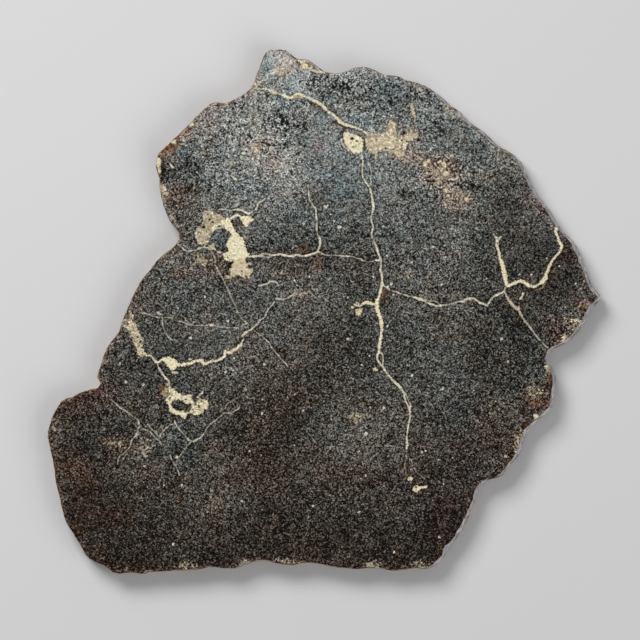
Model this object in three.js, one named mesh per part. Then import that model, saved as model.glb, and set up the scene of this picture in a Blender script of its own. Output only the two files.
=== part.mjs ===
// Angrite meteorite: one flat slice sawn from the stone.
// Both cut faces are flat. The edge all round is the stone's own weathered outside.
// The slice lies on its back face: +Z leaves the cut face that is looked at, +Y is up and +X is right in the
// reference picture. The origin is the bottom centre. Units are millimetres.
import * as THREE from 'three';

// Driving sizes
const SLICE_WIDTH = 110;
const THICKNESS = 5;
// How far the cut face stays inside the widest outline: everywhere, and more where the edge leans out
const FACE_INSET = 0.14;
const FACE_INSET_LEANING = 0.55;
const LEAN_DIRECTION = new THREE.Vector2(1, -0.12).normalize();
// How far the back face stays inside the widest outline
const BACK_INSET = 0.5;
// The weathered edge: depth of its hollows, and how far its ledges wander up and down
const EDGE_HOLLOW = 0.42;
const LEDGE_WANDER = 0.3;
// Steps along the outline, about 1.35 mm each
const OUTLINE_STEPS = 272;

// Levels up the edge as shares of the thickness. The share of each face's inset falls to 0 at the widest level.
const EDGE_LEVELS = [
  { height: 0, backShare: 1, faceShare: 0, hollow: 0.4 },
  { height: 0.12, backShare: 0.4, faceShare: 0, hollow: 0.7 },
  { height: 0.34, backShare: 0, faceShare: 0, hollow: 0 },
  { height: 0.56, backShare: 0, faceShare: 0.22, hollow: 1 },
  { height: 0.76, backShare: 0, faceShare: 0.5, hollow: 0.8 },
  { height: 0.92, backShare: 0, faceShare: 0.8, hollow: 0.5 },
  { height: 1, backShare: 0, faceShare: 1, hollow: 0.2 },
];

// The outline, clockwise from the peak, in pixels of the reference picture: x to the right, y down
const PEAK_PX = [
  [265, 52], [268.5, 49.8], [280, 48.7], [286, 49.3], [291.3, 53.8], [298, 58.5], [306, 58], [311, 60.2],
  [317, 65.6], [324, 70.1], [332, 72], [341, 72], [348, 69.8], [356, 66.6], [366, 66], [372, 67.9],
];
const RIGHT_SHOULDER_PX = [
  [379, 71.4], [389, 74.6], [397, 74.7], [405, 78.5], [420, 82.9], [430.5, 88], [442, 96.4], [450, 104.1],
  [461, 111.5], [466, 118], [472, 123], [480, 128.3], [490, 136.8], [498, 144.8], [511, 151.8], [518, 156.9],
  [522, 161.3], [527, 172.5], [531, 181.7], [537, 192.4], [550, 209.2], [557, 222], [568, 235.5],
];
const RIGHT_POINT_PX = [
  [574, 240.9], [579.2, 250.2], [584, 263.3], [588, 272.8], [591, 282], [595, 288.6], [600.5, 293],
  [601.7, 297.3], [599, 302], [592, 309.5], [587.7, 315.9], [584.5, 324.8], [579, 330.6], [573.3, 337.4],
  [566, 343.3], [557.9, 347], [551.7, 350.7], [549, 357.2], [549.3, 361], [554, 369.8],
];
const LOWER_RIGHT_PX = [
  [556.5, 377], [556.3, 386], [554.4, 400.3], [551.5, 409.5], [545, 415.2], [536.3, 422.6], [530, 429.6],
  [525.8, 437], [521.4, 449.3], [518.2, 457], [511, 465], [506, 472.3], [500.3, 477.1], [490, 479.8],
  [485.8, 482.2], [479.5, 489.2], [477.3, 497], [475.5, 503.6], [471.7, 511], [467.8, 520], [462, 531.4],
  [455.6, 540], [447.4, 551.5], [446.3, 555.2], [440, 561.6], [435, 566.3],
];
const BOTTOM_PX = [
  [428, 569.2], [416, 568.3], [408, 569.6], [390, 571.1], [382, 568.8], [367, 568.6], [358, 569.9],
  [348, 568.6], [336, 567.5], [322.5, 564.8], [310, 563.1], [303, 563.4], [294, 565.4], [280, 564.4],
  [265, 561], [257, 561.5], [250, 563.3], [242, 566.7], [235.5, 569], [222, 568.6], [212, 567.3],
  [202, 569], [190, 570.8], [176, 570.8], [163, 572.2], [151, 572.3],
];
const LOWER_LEFT_PX = [
  [145, 574.1], [141.5, 575.2], [137, 573.9], [127, 573.2], [116, 574.7], [112, 572.3], [105.8, 567.1],
  [95, 562.1], [88, 558.3], [84, 553], [80, 545], [72, 532.5], [65, 520.8], [62.2, 512.5], [60.4, 502.1],
  [56.5, 487.5], [54.2, 473], [51.7, 457.6], [48.2, 440.7], [46.9, 434.3], [48.4, 427.3], [51.5, 418],
  [56.5, 407.8],
];
const LEFT_STEP_PX = [
  [60, 401.6], [64, 398.3], [71, 396.8], [78, 392.8], [89, 389.2], [99.8, 386], [99.9, 382.3], [96.2, 375.8],
  [98.8, 369.4], [104.5, 352], [110, 342], [118, 332.2], [122, 320], [133, 294.6], [140, 281.3],
  [147.6, 271.7], [157.6, 259.3], [166, 251.8], [174, 245.9], [178.3, 239.8], [179.2, 233.6],
];
const UPPER_LEFT_PX = [
  [175.4, 228.1], [169.6, 220.7], [164.6, 209.8], [160.9, 197.8], [159, 185], [158.8, 177], [156.2, 169.5],
  [155.1, 162.4], [157.3, 154.7], [161.5, 149.3], [175.2, 136.9], [184.3, 127.8], [190.5, 122.6],
  [192.8, 119], [203.3, 108.8], [209, 103.8], [216, 101.7], [226.5, 101.8], [236.3, 97.6], [246.3, 91.9],
  [251.8, 86.3], [255.8, 75.9], [260.8, 62.6],
];

// A smooth value from 0 to 1 that changes over a few millimetres, the same at the same place every time
function weathering(x, y, z) {
  const broad = Math.sin(0.47 * x + 0.31 * y + 1.3 * z + 0.6) * Math.sin(0.29 * x - 0.53 * y + 2.1);
  const middle = Math.sin(1.07 * x + 0.83 * y - 1.9 * z) * Math.sin(0.71 * x - 1.27 * y + 1.1 * z + 0.9);
  const fine = Math.sin(2.3 * x - 1.9 * y + 2.7 * z + 1.7);
  return THREE.MathUtils.clamp(0.5 + 0.3 * broad + 0.28 * middle + 0.16 * fine, 0, 1);
}

// The widest outline as evenly spaced points in millimetres, counter-clockwise, centred on its own box
function widestOutline() {
  const pixels = [
    ...PEAK_PX, ...RIGHT_SHOULDER_PX, ...RIGHT_POINT_PX, ...LOWER_RIGHT_PX,
    ...BOTTOM_PX, ...LOWER_LEFT_PX, ...LEFT_STEP_PX, ...UPPER_LEFT_PX,
  ];
  const corners = pixels.map(([x, y]) => new THREE.Vector3(x, -y, 0)).reverse();
  const curve = new THREE.CatmullRomCurve3(corners, true, 'centripetal');
  curve.arcLengthDivisions = 8 * corners.length;
  const points = curve.getSpacedPoints(OUTLINE_STEPS).slice(0, OUTLINE_STEPS);
  const box = new THREE.Box3().setFromPoints(points);
  const centre = box.getCenter(new THREE.Vector3());
  const millimetresPerPixel = SLICE_WIDTH / (box.max.x - box.min.x);
  return points.map((point) => {
    const placed = point.sub(centre).multiplyScalar(millimetresPerPixel);
    return new THREE.Vector2(placed.x, placed.y);
  });
}

// The outward direction at each outline point, averaged over two neighbours on each side
function outwardDirections(outline) {
  const count = outline.length;
  return outline.map((_, i) => {
    const along = new THREE.Vector2();
    for (const reach of [1, 2]) {
      const ahead = outline[(i + reach) % count];
      const behind = outline[(i - reach + count) % count];
      along.add(ahead.clone().sub(behind).normalize());
    }
    return new THREE.Vector2(along.y, -along.x).normalize();
  });
}

// One ring of the edge, at one level
function edgeRing(outline, outward, level) {
  const isFace = level.height === 0 || level.height === 1;
  return outline.map((point, i) => {
    const flatHeight = level.height * THICKNESS;
    const leaning = Math.max(0, outward[i].dot(LEAN_DIRECTION));
    const faceInset = FACE_INSET + FACE_INSET_LEANING * leaning;
    const hollow = EDGE_HOLLOW * level.hollow * weathering(point.x, point.y, flatHeight);
    const inset = level.faceShare * faceInset + level.backShare * BACK_INSET + hollow;
    const wander = isFace ? 0 : LEDGE_WANDER * (weathering(point.y, point.x, 3 * flatHeight) - 0.5);
    const placed = point.clone().addScaledVector(outward[i], -inset);
    return new THREE.Vector3(placed.x, placed.y, flatHeight + wander);
  });
}

// The slice: rings joined into the edge, and a flat cap on each cut face
function sliceGeometry() {
  const outline = widestOutline();
  const outward = outwardDirections(outline);
  const rings = EDGE_LEVELS.map((level) => edgeRing(outline, outward, level));
  const positions = rings.flat().flatMap((point) => [point.x, point.y, point.z]);
  const triangles = [];
  for (let ring = 0; ring < rings.length - 1; ring += 1) {
    for (let i = 0; i < OUTLINE_STEPS; i += 1) {
      const next = (i + 1) % OUTLINE_STEPS;
      const low = ring * OUTLINE_STEPS;
      const high = low + OUTLINE_STEPS;
      triangles.push(low + i, low + next, high + next);
      triangles.push(low + i, high + next, high + i);
    }
  }
  const backRing = rings[0];
  const faceRing = rings[rings.length - 1];
  const faceStart = (rings.length - 1) * OUTLINE_STEPS;
  for (const [a, b, c] of capTriangles(backRing)) {
    triangles.push(a, c, b);
  }
  for (const [a, b, c] of capTriangles(faceRing)) {
    triangles.push(faceStart + a, faceStart + b, faceStart + c);
  }
  const geometry = new THREE.BufferGeometry();
  geometry.setAttribute('position', new THREE.Float32BufferAttribute(positions, 3));
  geometry.setIndex(triangles);
  geometry.computeVertexNormals();
  return geometry;
}

// Triangles over a flat ring, counter-clockwise seen from above
function capTriangles(ring) {
  const flat = ring.map((point) => new THREE.Vector2(point.x, point.y));
  return THREE.ShapeUtils.triangulateShape(flat, []);
}

const stone = new THREE.MeshStandardMaterial({ color: 0x464846, roughness: 0.62, metalness: 0 });
const slice = new THREE.Mesh(sliceGeometry(), stone);
slice.name = 'slice';

const group = new THREE.Group();
group.add(slice);
export default group;
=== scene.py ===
# Looks of the angrite meteorite slice, built around its imported solid.
# Features of the cut face are placed in pixels of the reference picture: x to the right, y down.
import math

import bmesh
import bpy
import numpy as np
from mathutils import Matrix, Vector, noise
from mathutils.geometry import delaunay_2d_cdt


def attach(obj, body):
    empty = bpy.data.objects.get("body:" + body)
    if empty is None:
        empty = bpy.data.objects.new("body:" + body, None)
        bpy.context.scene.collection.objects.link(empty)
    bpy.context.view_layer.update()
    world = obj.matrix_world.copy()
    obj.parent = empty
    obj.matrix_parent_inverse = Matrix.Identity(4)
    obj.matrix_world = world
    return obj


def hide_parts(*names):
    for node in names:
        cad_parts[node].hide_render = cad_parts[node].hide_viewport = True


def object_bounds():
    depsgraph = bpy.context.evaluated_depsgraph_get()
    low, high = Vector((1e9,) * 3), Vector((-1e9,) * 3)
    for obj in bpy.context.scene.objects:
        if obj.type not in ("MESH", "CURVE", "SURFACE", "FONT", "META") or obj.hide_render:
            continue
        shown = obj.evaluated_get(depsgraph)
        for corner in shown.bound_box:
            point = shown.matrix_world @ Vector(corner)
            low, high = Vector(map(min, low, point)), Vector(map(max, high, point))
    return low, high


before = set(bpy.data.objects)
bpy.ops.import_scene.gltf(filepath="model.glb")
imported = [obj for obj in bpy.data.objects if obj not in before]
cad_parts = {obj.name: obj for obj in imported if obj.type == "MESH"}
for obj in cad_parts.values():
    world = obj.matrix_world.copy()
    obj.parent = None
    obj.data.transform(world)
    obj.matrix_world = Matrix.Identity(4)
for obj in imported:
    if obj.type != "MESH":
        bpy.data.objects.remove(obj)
cad_low, cad_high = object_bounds()

# The widest outline in the reference picture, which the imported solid's box matches
LEFT_PX = 46.9
RIGHT_PX = 601.7
TOP_PX = 48.7
BOTTOM_PX = 575.2
MIDDLE_X_PX = (LEFT_PX + RIGHT_PX) / 2
MIDDLE_Y_PX = (TOP_PX + BOTTOM_PX) / 2
METRES_PER_PX = (cad_high.x - cad_low.x) / (RIGHT_PX - LEFT_PX)
MIDDLE_X = (cad_high.x + cad_low.x) / 2
MIDDLE_Y = (cad_high.y + cad_low.y) / 2
THICKNESS = cad_high.z - cad_low.z
MM = 0.001

# The fine grid of points over the cut face, in pixels
FINE_PX = 0.75
GRID_LEFT = 45.0
GRID_TOP = 47.0
GRID_COLUMNS = 744
GRID_ROWS = 706
# Soft noise is made for pixel positions up to here
NOISE_SPAN_PX = 700
# Steps along the grid between a face's points: beside its features, and on plain stone
FACE_STEPS = (1, 4)
BACK_STEPS = (2, 6)

# Depths inside a feature are in pixels, and this one is far outside
FAR = -6.0
# How far round a feature its depth is worked out
VEIN_REACH = 8.0
HOLE_REACH = 40.0
DOT_REACH = 6.0
LINE_REACH = 5.0
RIM_REACH = 3.0
WARM_RIM_REACH = 8.0
# How far some veins are lifted to stay in sight over the patches
OVER_PATCHES_LIFT = 4
# How ragged the margins of patches and dots are
PATCH_ROUGH = 0.8
DOT_ROUGH = 0.9
# White crystals are laid at this share of their size, because the soft margin adds to it
WHITE_SIZE_SHARE = 0.82
# Depth of the small holes at black grains
GRAIN_HOLE = 0.08 * MM

# The weathered edge: how far it is worn back, its chips at the cut face, its pits and its uneven ledges
WORN_BACK = 0.16 * MM
CHIP_DEPTH = 0.55 * MM
EDGE_PIT_DEPTH = 0.14 * MM
EDGE_PIT_REACH = 0.35
LEDGE_WANDER = 0.05 * MM
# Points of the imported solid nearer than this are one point, or lie at one height
SAME_POINT = 1e-6
SAME_HEIGHT = 1e-5
# The edge's points read the face's colours this far inside the rim
READ_INSIDE_PX = 1.2
# A painted pale reflection lies on the edge that faces this way
SHEEN_DIRECTION = (0.993, -0.119)
# Corners of the edge sharper than this aren't smoothed
SHARP_DEGREES = 38

# The bake map's parts, in shares of its width: left, bottom and size of each face, and the edge's strips
FACE_ON_MAP = (0.004, 0.252, 0.78)
BACK_ON_MAP = (0.004, 0.005, 0.25)
STRIP_COUNT = 3
STRIPS_LEFT = 0.795
STRIP_STEP = 0.068
STRIP_WIDTH = 0.062
STRIP_BOTTOM = 0.01
STRIP_LENGTH = 0.98

# Crystals of the stone for each millimetre, in three sizes, and the beads of the painted pale reflection on
# the edge
FINE_PER_MM = 4.8
MIDDLE_PER_MM = 2.6
BIG_PER_MM = 1.25
SHEEN_BEADS_PER_MM = 1.0

# The pale floor, the lamps and the camera
FLOOR_HALF_WIDTH = 2
FLOOR_GAP = 0.05 * MM
KEY_PLACE = (-0.32, 0.42, 0.55)
KEY_SIZE = 0.35
KEY_WATTS = 4.1
FILL_PLACE = (0.6, -0.45, 0.7)
FILL_SIZE = 0.8
FILL_WATTS = 3.3
ROOM_LIGHT = 0.2
CAMERA_HEIGHT = 1.4
SENSOR_WIDTH_MM = 36.0
PICTURE_SIZE_PX = 640

# Veins and threads of pale mineral: tone from 0 for cream to 1 for tan, strength and points.
# A point is x, y and the width from there on, which is left out where it stays the same.
VEINS = {
    "top vein, thin end": (0.2, 0.75, [
        (254, 88.3, 1.6), (260, 88.7), (264, 88.8), (268, 89.3, 1.8), (270, 90.5, 2.6), (273, 92.3),
        (276, 93.3, 2.2), (279, 93.8)]),
    "top vein": (0.1, 1, [
        (279, 93.8, 1.7), (282, 94.5, 1.9), (285, 96, 2.8), (288, 97.5), (291, 98, 2.5), (293, 96),
        (297, 94.3, 2.8), (301, 94.5, 2.3), (304, 96, 1.9), (308, 98), (312, 99.5, 2.1), (315, 101, 2.8),
        (318, 102.5), (321, 104.5), (323.5, 106.5), (326, 109.5, 2.1), (329, 112), (332, 114), (334.5, 116),
        (337, 118.5, 3), (339.5, 121), (342, 123), (345, 124.5, 2.8), (349, 125.8, 2.3), (353, 126.8, 2.1),
        (357, 128), (361, 129.5), (364, 131), (367, 133), (370, 133.5), (373, 134.5, 1.9), (377, 136, 1.6)]),
    "under the top vein's hump": (0.9, 0.8, [(293, 97.3, 2), (298, 96.8), (302, 97.6, 1.6)]),
    "thread round the upper ring": (0.2, 0.8, [
        (341.5, 139, 1.3), (342.3, 143), (344, 146.5), (347, 149), (349.5, 151.5), (351.5, 154)]),
    "middle vein, left strand": (0.1, 0.95, [
        (361.5, 154, 1.4), (362.2, 158), (363, 162), (362.5, 167), (362.3, 172), (362.8, 176.5), (364.5, 180),
        (366.5, 183.5), (369, 186.5), (370, 188)]),
    "middle vein, right strand": (0.15, 0.75, [
        (368, 163, 1.2), (370, 167), (371.3, 171), (371.3, 176), (370.8, 180), (370.7, 184), (369.5, 186.5),
        (370, 188)]),
    "middle vein, upper": (0.1, 1, [
        (370, 188, 1.5), (371, 192, 1.8), (371.7, 196), (372.3, 200, 2.1), (373, 204), (373.3, 208),
        (373, 211, 1.5), (372, 214.5), (371, 218.5), (372, 223), (373, 227), (372.5, 230), (371.5, 233.5),
        (372.5, 238), (374.5, 242, 1.6), (376, 246), (377, 250, 2), (378.5, 253.5, 2.2), (380, 257, 1.8),
        (381, 261), (381, 266), (380.5, 269.5, 2), (381.5, 274), (382, 279, 2.2), (381.8, 284),
        (381, 289, 2.3), (379.6, 294), (378.2, 299, 2.7)]),
    "middle vein, broad part": (0.08, 0.96, [
        (378.2, 299, 2.7), (376.7, 303.5, 4), (377, 308), (378.5, 312, 3.6), (379.5, 316), (381, 320),
        (381.5, 325), (381.8, 330, 2.9), (381.3, 335, 2.3), (380.3, 340, 2.9), (379.5, 345), (379, 350, 2.7),
        (378.6, 353, 2.3)]),
    "middle vein, loop left": (0.05, 1, [
        (378.6, 352, 1.8), (377, 357), (378, 361), (380, 364), (382.5, 366.4)]),
    "middle vein, loop right": (0.1, 0.8, [
        (380, 352, 1.4), (383, 356), (383.2, 360), (382.6, 364.5), (383, 366.5)]),
    "middle vein, slanted": (0.1, 1, [
        (383, 366.5, 1.9), (385.5, 371.5), (388.5, 375.5), (391.5, 379), (394.5, 382, 2.2), (397.5, 384.5),
        (400.5, 388), (403, 391.5, 1.9), (404.6, 393.6, 1.7)]),
    "middle vein, doubled left": (0.1, 0.95, [
        (404, 393.5, 1.4), (405, 399), (406, 402), (408, 406), (409, 410)]),
    "middle vein, doubled right": (0.1, 0.85, [
        (405, 393, 1.1), (407, 396.5), (408.5, 400), (410, 404), (411, 407.5)]),
    "middle vein, lower": (0.1, 0.97, [
        (409.5, 407.5, 2.4), (410, 415, 1.5), (409.5, 419), (409, 423), (408, 427, 1.6), (407.5, 431),
        (407, 435), (406.5, 438, 1.8), (407, 442, 2.2), (407, 446), (406.5, 449, 1.1)]),
    "middle vein, end left": (0.3, 0.6, [
        (406.5, 449, 0.9), (406.5, 455), (406, 460), (404.5, 465), (405.5, 470), (406, 475)]),
    "middle vein, end right": (0.3, 0.6, [
        (407, 450, 0.9), (409, 457), (411.5, 461), (413, 466), (415, 470), (418, 473.5), (421.5, 476),
        (424.5, 479), (427, 481)]),
    "tail of the pale dot": (0.3, 0.7, [(410.5, 480, 1.6), (410.5, 483.5, 1)]),
    "left middle vein": (0.1, 1, [
        (243, 256, 1.9), (247, 256), (250, 256.5), (255, 256.3), (260, 256), (262, 256, 1.8)]),
    "left middle vein, upper strand": (0.1, 1, [
        (260, 255.5, 1.7), (262, 254.5), (266, 253.5), (270, 255), (272, 255.5)]),
    "left middle vein, lower strand": (0.2, 0.75, [(261, 256, 1.2), (266, 257), (269, 257.5), (272, 256)]),
    "left middle vein, right part": (0.1, 0.98, [
        (272, 255.5, 2.1), (276, 255), (280, 254), (284, 255), (288, 256), (292, 256), (295, 255, 1.9),
        (298, 255, 1.7), (301, 256), (305, 256), (309, 255), (313, 253.5), (317, 252.5), (320, 252.5, 1.5),
        (323, 254, 1.3), (327, 255), (331, 255.5), (336, 255.5), (341, 255.8), (345, 256.2), (350, 256.3),
        (353, 256.7), (356, 258), (359, 258.7), (362, 259.5), (364, 261, 1.1), (367, 261.7), (371, 261.5),
        (374, 260.8, 1.3), (377, 260.2, 1.7), (380, 260)]),
    "upright thread": (0.12, 1, [
        (308, 186, 1.3), (309, 195, 1.6), (309.5, 199.5), (311.5, 203, 1.1), (314, 206.5), (316, 209, 1.6),
        (316, 213), (316.5, 218), (317, 223), (316.5, 228), (317, 232), (318, 235), (319.8, 238, 2),
        (320, 243), (319.5, 247), (318.2, 250), (318, 252)]),
    "left edge thread": (0.1, 0.95, [
        (181, 246.5, 1.4), (184, 249.5), (187, 251), (191, 250.5, 1.7), (195, 250.3), (198, 248.5),
        (203, 247.5), (208, 248, 1.8), (212, 249), (214.5, 248.5, 1.4), (216, 250.5), (218, 252),
        (221, 252.5), (224, 254)]),
    "upper left arch": (-0.1, 1, [
        (219, 209.4, 1.2), (225, 209.3, 1.5), (232, 210.2, 1.3), (237, 209.5, 1.7), (240, 209.8, 1.8),
        (243, 211, 1.9), (246, 212.6), (249.5, 213.4), (252, 211.5, 1.4), (256, 209.5, 1.5), (257.5, 206.5),
        (257.8, 203.5), (260.5, 202), (263, 200.4, 1.3), (266, 198.2, 1.1)]),
    "upper left arch, start": (0.5, 0.7, [(208, 210.3, 1), (212, 210), (216, 210.5), (220, 212.5, 0.9)]),
    "cream top of the left band": (0.12, 0.95, [
        (212.8, 229.5, 2.2), (214.5, 226.5, 3), (217.5, 224.3, 3.6), (221, 223), (225, 221.6, 3.8)]),
    "left band, outer line": (0.3, 0.8, [
        (206.5, 210.4, 1.2), (204, 212.5, 1.5), (203.6, 217), (204, 221), (202, 224.5), (199, 227.5),
        (196.4, 230.5, 1.8), (195.9, 234), (197.2, 238), (198.8, 242, 2.2), (202, 243.5, 2.8)]),
    "left band, inner line": (0.25, 0.85, [
        (213, 231, 1.8), (210.5, 234.5, 1.5), (208.7, 238.5, 1.8), (206.8, 242.5), (205, 245.5, 1.2)]),
    "left band, upper line": (0.3, 0.8, [
        (206, 210.6, 1.3), (210, 212.4, 2), (214, 213.6, 2.6), (217.5, 215, 1.7), (221, 216, 1.3)]),
    "left band, low line": (0.5, 0.8, [
        (213.5, 229.3, 1.3), (217, 228.5, 1.8), (219.8, 226.7), (223.5, 227.3, 1.2)]),
    "stub by the left patches": (0.1, 0.95, [(231, 218.5, 2.1), (234, 216), (238, 215), (241, 217)]),
    "small cream line": (0.15, 0.85, [
        (193.6, 258.5, 1.2), (195.5, 254.6), (199, 253.2, 2), (199.6, 257), (204, 259.6, 1.8),
        (207, 260.8, 1.5), (211, 260, 1)]),
    "small lower line": (0.3, 0.85, [(201, 261.6, 1.2), (203, 264, 2), (204.5, 266, 1.6)]),
    "spots under the small line": (0.3, 0.7, [(193, 265, 1.6), (196, 262, 1.4)]),
    "grey thread": (0.35, 0.75, [
        (210.5, 250, 1.3), (212, 253), (215, 258), (215.3, 263), (216, 266), (218, 270.5), (220.5, 274.5),
        (222.5, 278), (224, 282), (227, 287), (229, 292), (231, 297), (233, 301), (235.5, 306), (236.5, 309),
        (238, 313.5), (241, 317), (243.5, 320), (247, 323.5)]),
    "left edge threads, upper": (0.5, 0.95, [
        (131, 315, 1.4), (133, 319), (135.5, 321), (136, 326), (134.5, 330)]),
    "left edge threads, lower": (0.5, 0.9, [
        (137, 333, 1.4), (141, 335.5), (143, 339), (142, 344), (141, 346)]),
    "left vein, first part": (0.15, 0.9, [
        (146, 355.3, 1.9), (149, 355.3), (152, 357, 1.7), (154, 360), (156.5, 362, 2.4), (159, 362),
        (161.5, 360), (164, 357.5, 1.9)]),
    "left vein, faint loop": (0.4, 0.6, [(156, 360, 1), (156.5, 357.5), (158.5, 356.3)]),
    "left vein, broad part": (0.12, 0.94, [
        (178, 364.8, 3.2), (182, 365), (187, 364), (191, 363, 2.7), (194, 361.5, 2.9), (199, 360.5, 3.1),
        (202, 361), (204.5, 363.5), (207.5, 363, 2.5), (212, 361.3, 2.3), (216, 361), (219, 360),
        (222.5, 358, 2.5), (225, 355, 2.7), (225, 351.5), (228, 352.5), (231, 352.5), (233, 350.5),
        (236, 349, 2.9), (239, 346.5), (241.5, 344, 1.9), (242, 341.5), (243.5, 339.5, 1.4)]),
    "left vein, rising part": (0.15, 0.88, [
        (241, 337, 1.4), (243, 335, 2.4), (245, 333), (247.5, 331.5, 2), (250, 330, 1.7), (253, 328),
        (255, 326), (257.5, 324, 1.8), (259, 321.5), (261, 319.5, 1.5), (264, 317.5), (265.5, 315.5, 1.3),
        (266.5, 312.5), (268.5, 309), (270.5, 306.5), (273, 304, 1.5), (274, 302)]),
    "left vein, forked strand": (0.3, 0.4, [
        (238, 339.5, 1.2), (239, 336), (238.5, 333, 1.4), (240, 330), (243, 328), (246, 327)]),
    "dab over the left vein": (0.2, 0.8, [(189, 359.3, 1.8), (193, 358.7, 1.6)]),
    "dab under the left vein": (0.3, 0.8, [(173.2, 372.3, 2.6), (176.8, 372.7)]),
    "stub by the left edge": (0.3, 0.8, [(138.5, 357, 1.5), (137.5, 359), (136.5, 361)]),
    "dab by the left edge": (0.3, 0.8, [(120, 362, 1.6), (120, 364.5)]),
    "dab right of the lower ring": (0.2, 0.85, [(202.5, 392, 2), (198, 396.5)]),
    "thread down from the rising part": (0.3, 0.85, [
        (254, 330.5, 1.2), (257, 332.5), (260, 334.5), (263, 337), (266, 340), (269, 342.5), (270.5, 345.5),
        (272.5, 349), (275.5, 352), (278, 355), (280.5, 358.5), (283, 361), (285.5, 363), (288, 366.5)]),
    "thread left of the rising part": (0.3, 0.55, [(236, 330, 1.2), (239, 327), (243, 325), (246, 324)]),
    "faint thread left of it": (0.4, 0.7, [(213, 325.3, 1), (221, 327, 1.1), (229, 327.6), (237, 328)]),
    "short bend": (0.3, 0.4, [(251, 356.5, 2), (255, 356.5), (257.5, 359), (259, 361.5)]),
    "inner thread": (0.2, 0.95, [
        (259, 285.5, 1.6), (264, 284.5), (268, 283.5), (269.5, 281.5), (273, 281.5), (276.5, 282.5),
        (278.5, 285.5)]),
    "short inner thread": (0.4, 0.6, [(280.5, 291, 1), (283, 294.5), (284.5, 297)]),
    "inner bar": (0.15, 0.85, [
        (276, 298.5, 1.6), (280, 299), (284, 299.3), (288, 298), (291.5, 295.5), (294.5, 293.5)]),
    "inner bar's tan end": (0.95, 0.35, [(294, 294.5, 2.2), (300, 293.6, 2.3), (305, 293, 1.8)]),
    "slanted inner thread": (0.3, 0.65, [(309.5, 291, 1.3), (312, 294), (315, 297), (318.5, 299.5)]),
    "faint inner bow": (0.4, 0.55, [(294, 267, 1), (297, 264.5), (300, 265), (303, 266.5)]),
    "faint thread over the left middle vein": (0.4, 0.5, [(261, 247, 1), (270, 247.5)]),
    "long left thread": (0.35, 0.7, [
        (131, 308, 1.3), (134, 309.5), (137, 311.5), (141, 312.5), (145, 313.5, 1.5), (148.5, 314.5, 1.6),
        (152, 315.5, 1), (155, 316.5), (158, 317.3), (163, 317.5), (168, 317.5), (171, 318), (174, 319.5),
        (177, 321), (181, 321.5), (185, 323), (188, 324.5), (192, 325), (198, 325.3), (204, 325.5),
        (208, 325)]),
    "dab at the long thread's end": (0.3, 0.8, [(210, 325, 2), (213, 325, 1.8)]),
    "dab over the long thread": (0.3, 0.8, [(157.5, 312, 2), (161.5, 315, 1.6)]),
    "branch of the long thread": (0.4, 0.65, [
        (162, 316.5, 1.2), (162.5, 320), (162.5, 323), (163.5, 327), (164.5, 330), (166, 334), (168.5, 337),
        (172, 339.5), (175.5, 340.5), (178, 342), (180.5, 344.5)]),
    "faint stub under the branch": (0.5, 0.5, [(163, 347, 1), (166, 352)]),
    "down to the lower ring": (0.12, 0.95, [
        (156.5, 362.5, 1.1), (157.5, 364), (158.5, 367), (160, 370, 1.8), (162.5, 373.5), (165, 377.5, 2.2),
        (168, 380.5), (168.5, 384, 2.8)]),
    "lower left thread": (0.25, 0.8, [
        (110, 399.5, 1.3), (113, 401), (116, 404), (120, 407.5, 1.5), (124, 410), (128, 412.5), (131, 415),
        (134, 417), (137, 419), (138.5, 421), (139, 424), (140, 425.5)]),
    "lower left thread, right branch": (0.3, 0.6, [
        (140, 425.5, 1.3), (142, 428), (145, 429.5), (149, 431), (152, 434), (155, 437.5), (158, 440),
        (160, 442), (161.5, 444.5)]),
    "beside the right branch": (0.3, 0.6, [
        (147.5, 424, 1.4), (150, 427), (153, 430), (156, 432), (157.5, 435), (158.5, 437)]),
    "lower left thread, down": (0.25, 0.72, [
        (140, 425.5, 1.2), (138.5, 428), (137.5, 431), (137, 434, 1.8), (135, 436.5), (132.5, 439.5, 1.3),
        (131, 442), (130.5, 445), (128.5, 448.5), (125.5, 451.5), (123, 454), (120, 456), (118.5, 459),
        (117.5, 464)]),
    "doubled end of it": (0.4, 0.5, [(127, 452, 1), (125, 456), (123, 460)]),
    "bow to the lower ring": (0.35, 0.85, [
        (160, 436, 1.5), (161.5, 433), (164, 430), (167, 427.5), (170, 425), (173.5, 424.5)]),
    "under the lower ring": (0.2, 0.78, [
        (174.5, 420, 0.9), (175, 423, 1.2), (177, 426, 1.7), (179, 429), (181, 431, 1.4), (183.5, 434),
        (186, 437), (188.5, 439.5), (191, 441), (193, 441.5)]),
    "rising to the right": (0.2, 0.78, [
        (193, 441.5, 1.9), (195, 441), (198, 439, 1.6), (201, 437), (203.5, 434, 1.2), (205, 431.5),
        (207, 428), (210, 424.5), (213, 422), (216, 420.5), (218, 418), (221, 416), (223, 413.5), (226, 413),
        (231, 413), (234.5, 411), (238, 409), (240, 405)]),
    "rising to the right, upper strand": (0.3, 0.5, [
        (220, 411, 1.5), (224, 409.5), (226, 406), (228.5, 403), (232, 401), (236, 398.5), (240, 396),
        (244, 394), (247, 397), (250, 398.3), (254, 397.5)]),
    "down from the joint": (0.3, 0.65, [
        (192, 441, 1.2), (188, 445), (185, 449), (182, 453), (180, 456), (178.5, 458.5)]),
    "lowest left thread": (0.3, 0.9, [
        (170, 455, 1.4), (171.5, 459), (174, 463.5), (176, 467), (178, 471), (179.5, 475)]),
    "short lowest thread": (0.4, 0.6, [(178, 459, 1), (176, 463), (175.5, 466)]),
    "faint thread in the brown": (0.5, 0.5, [(242, 438.5, 1), (246, 436), (250, 433.5), (253, 430)]),
    "faint dash": (0.4, 0.6, [(298, 435, 1.2), (302, 433, 1)]),
    "tan thread in the brown": (0.9, 0.6, [(306, 431, 1.2), (309, 434), (313, 439), (315, 442)]),
    "small dash": (0.4, 0.35, [(272, 380.5, 1.2), (275, 383), (277, 385)]),
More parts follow.
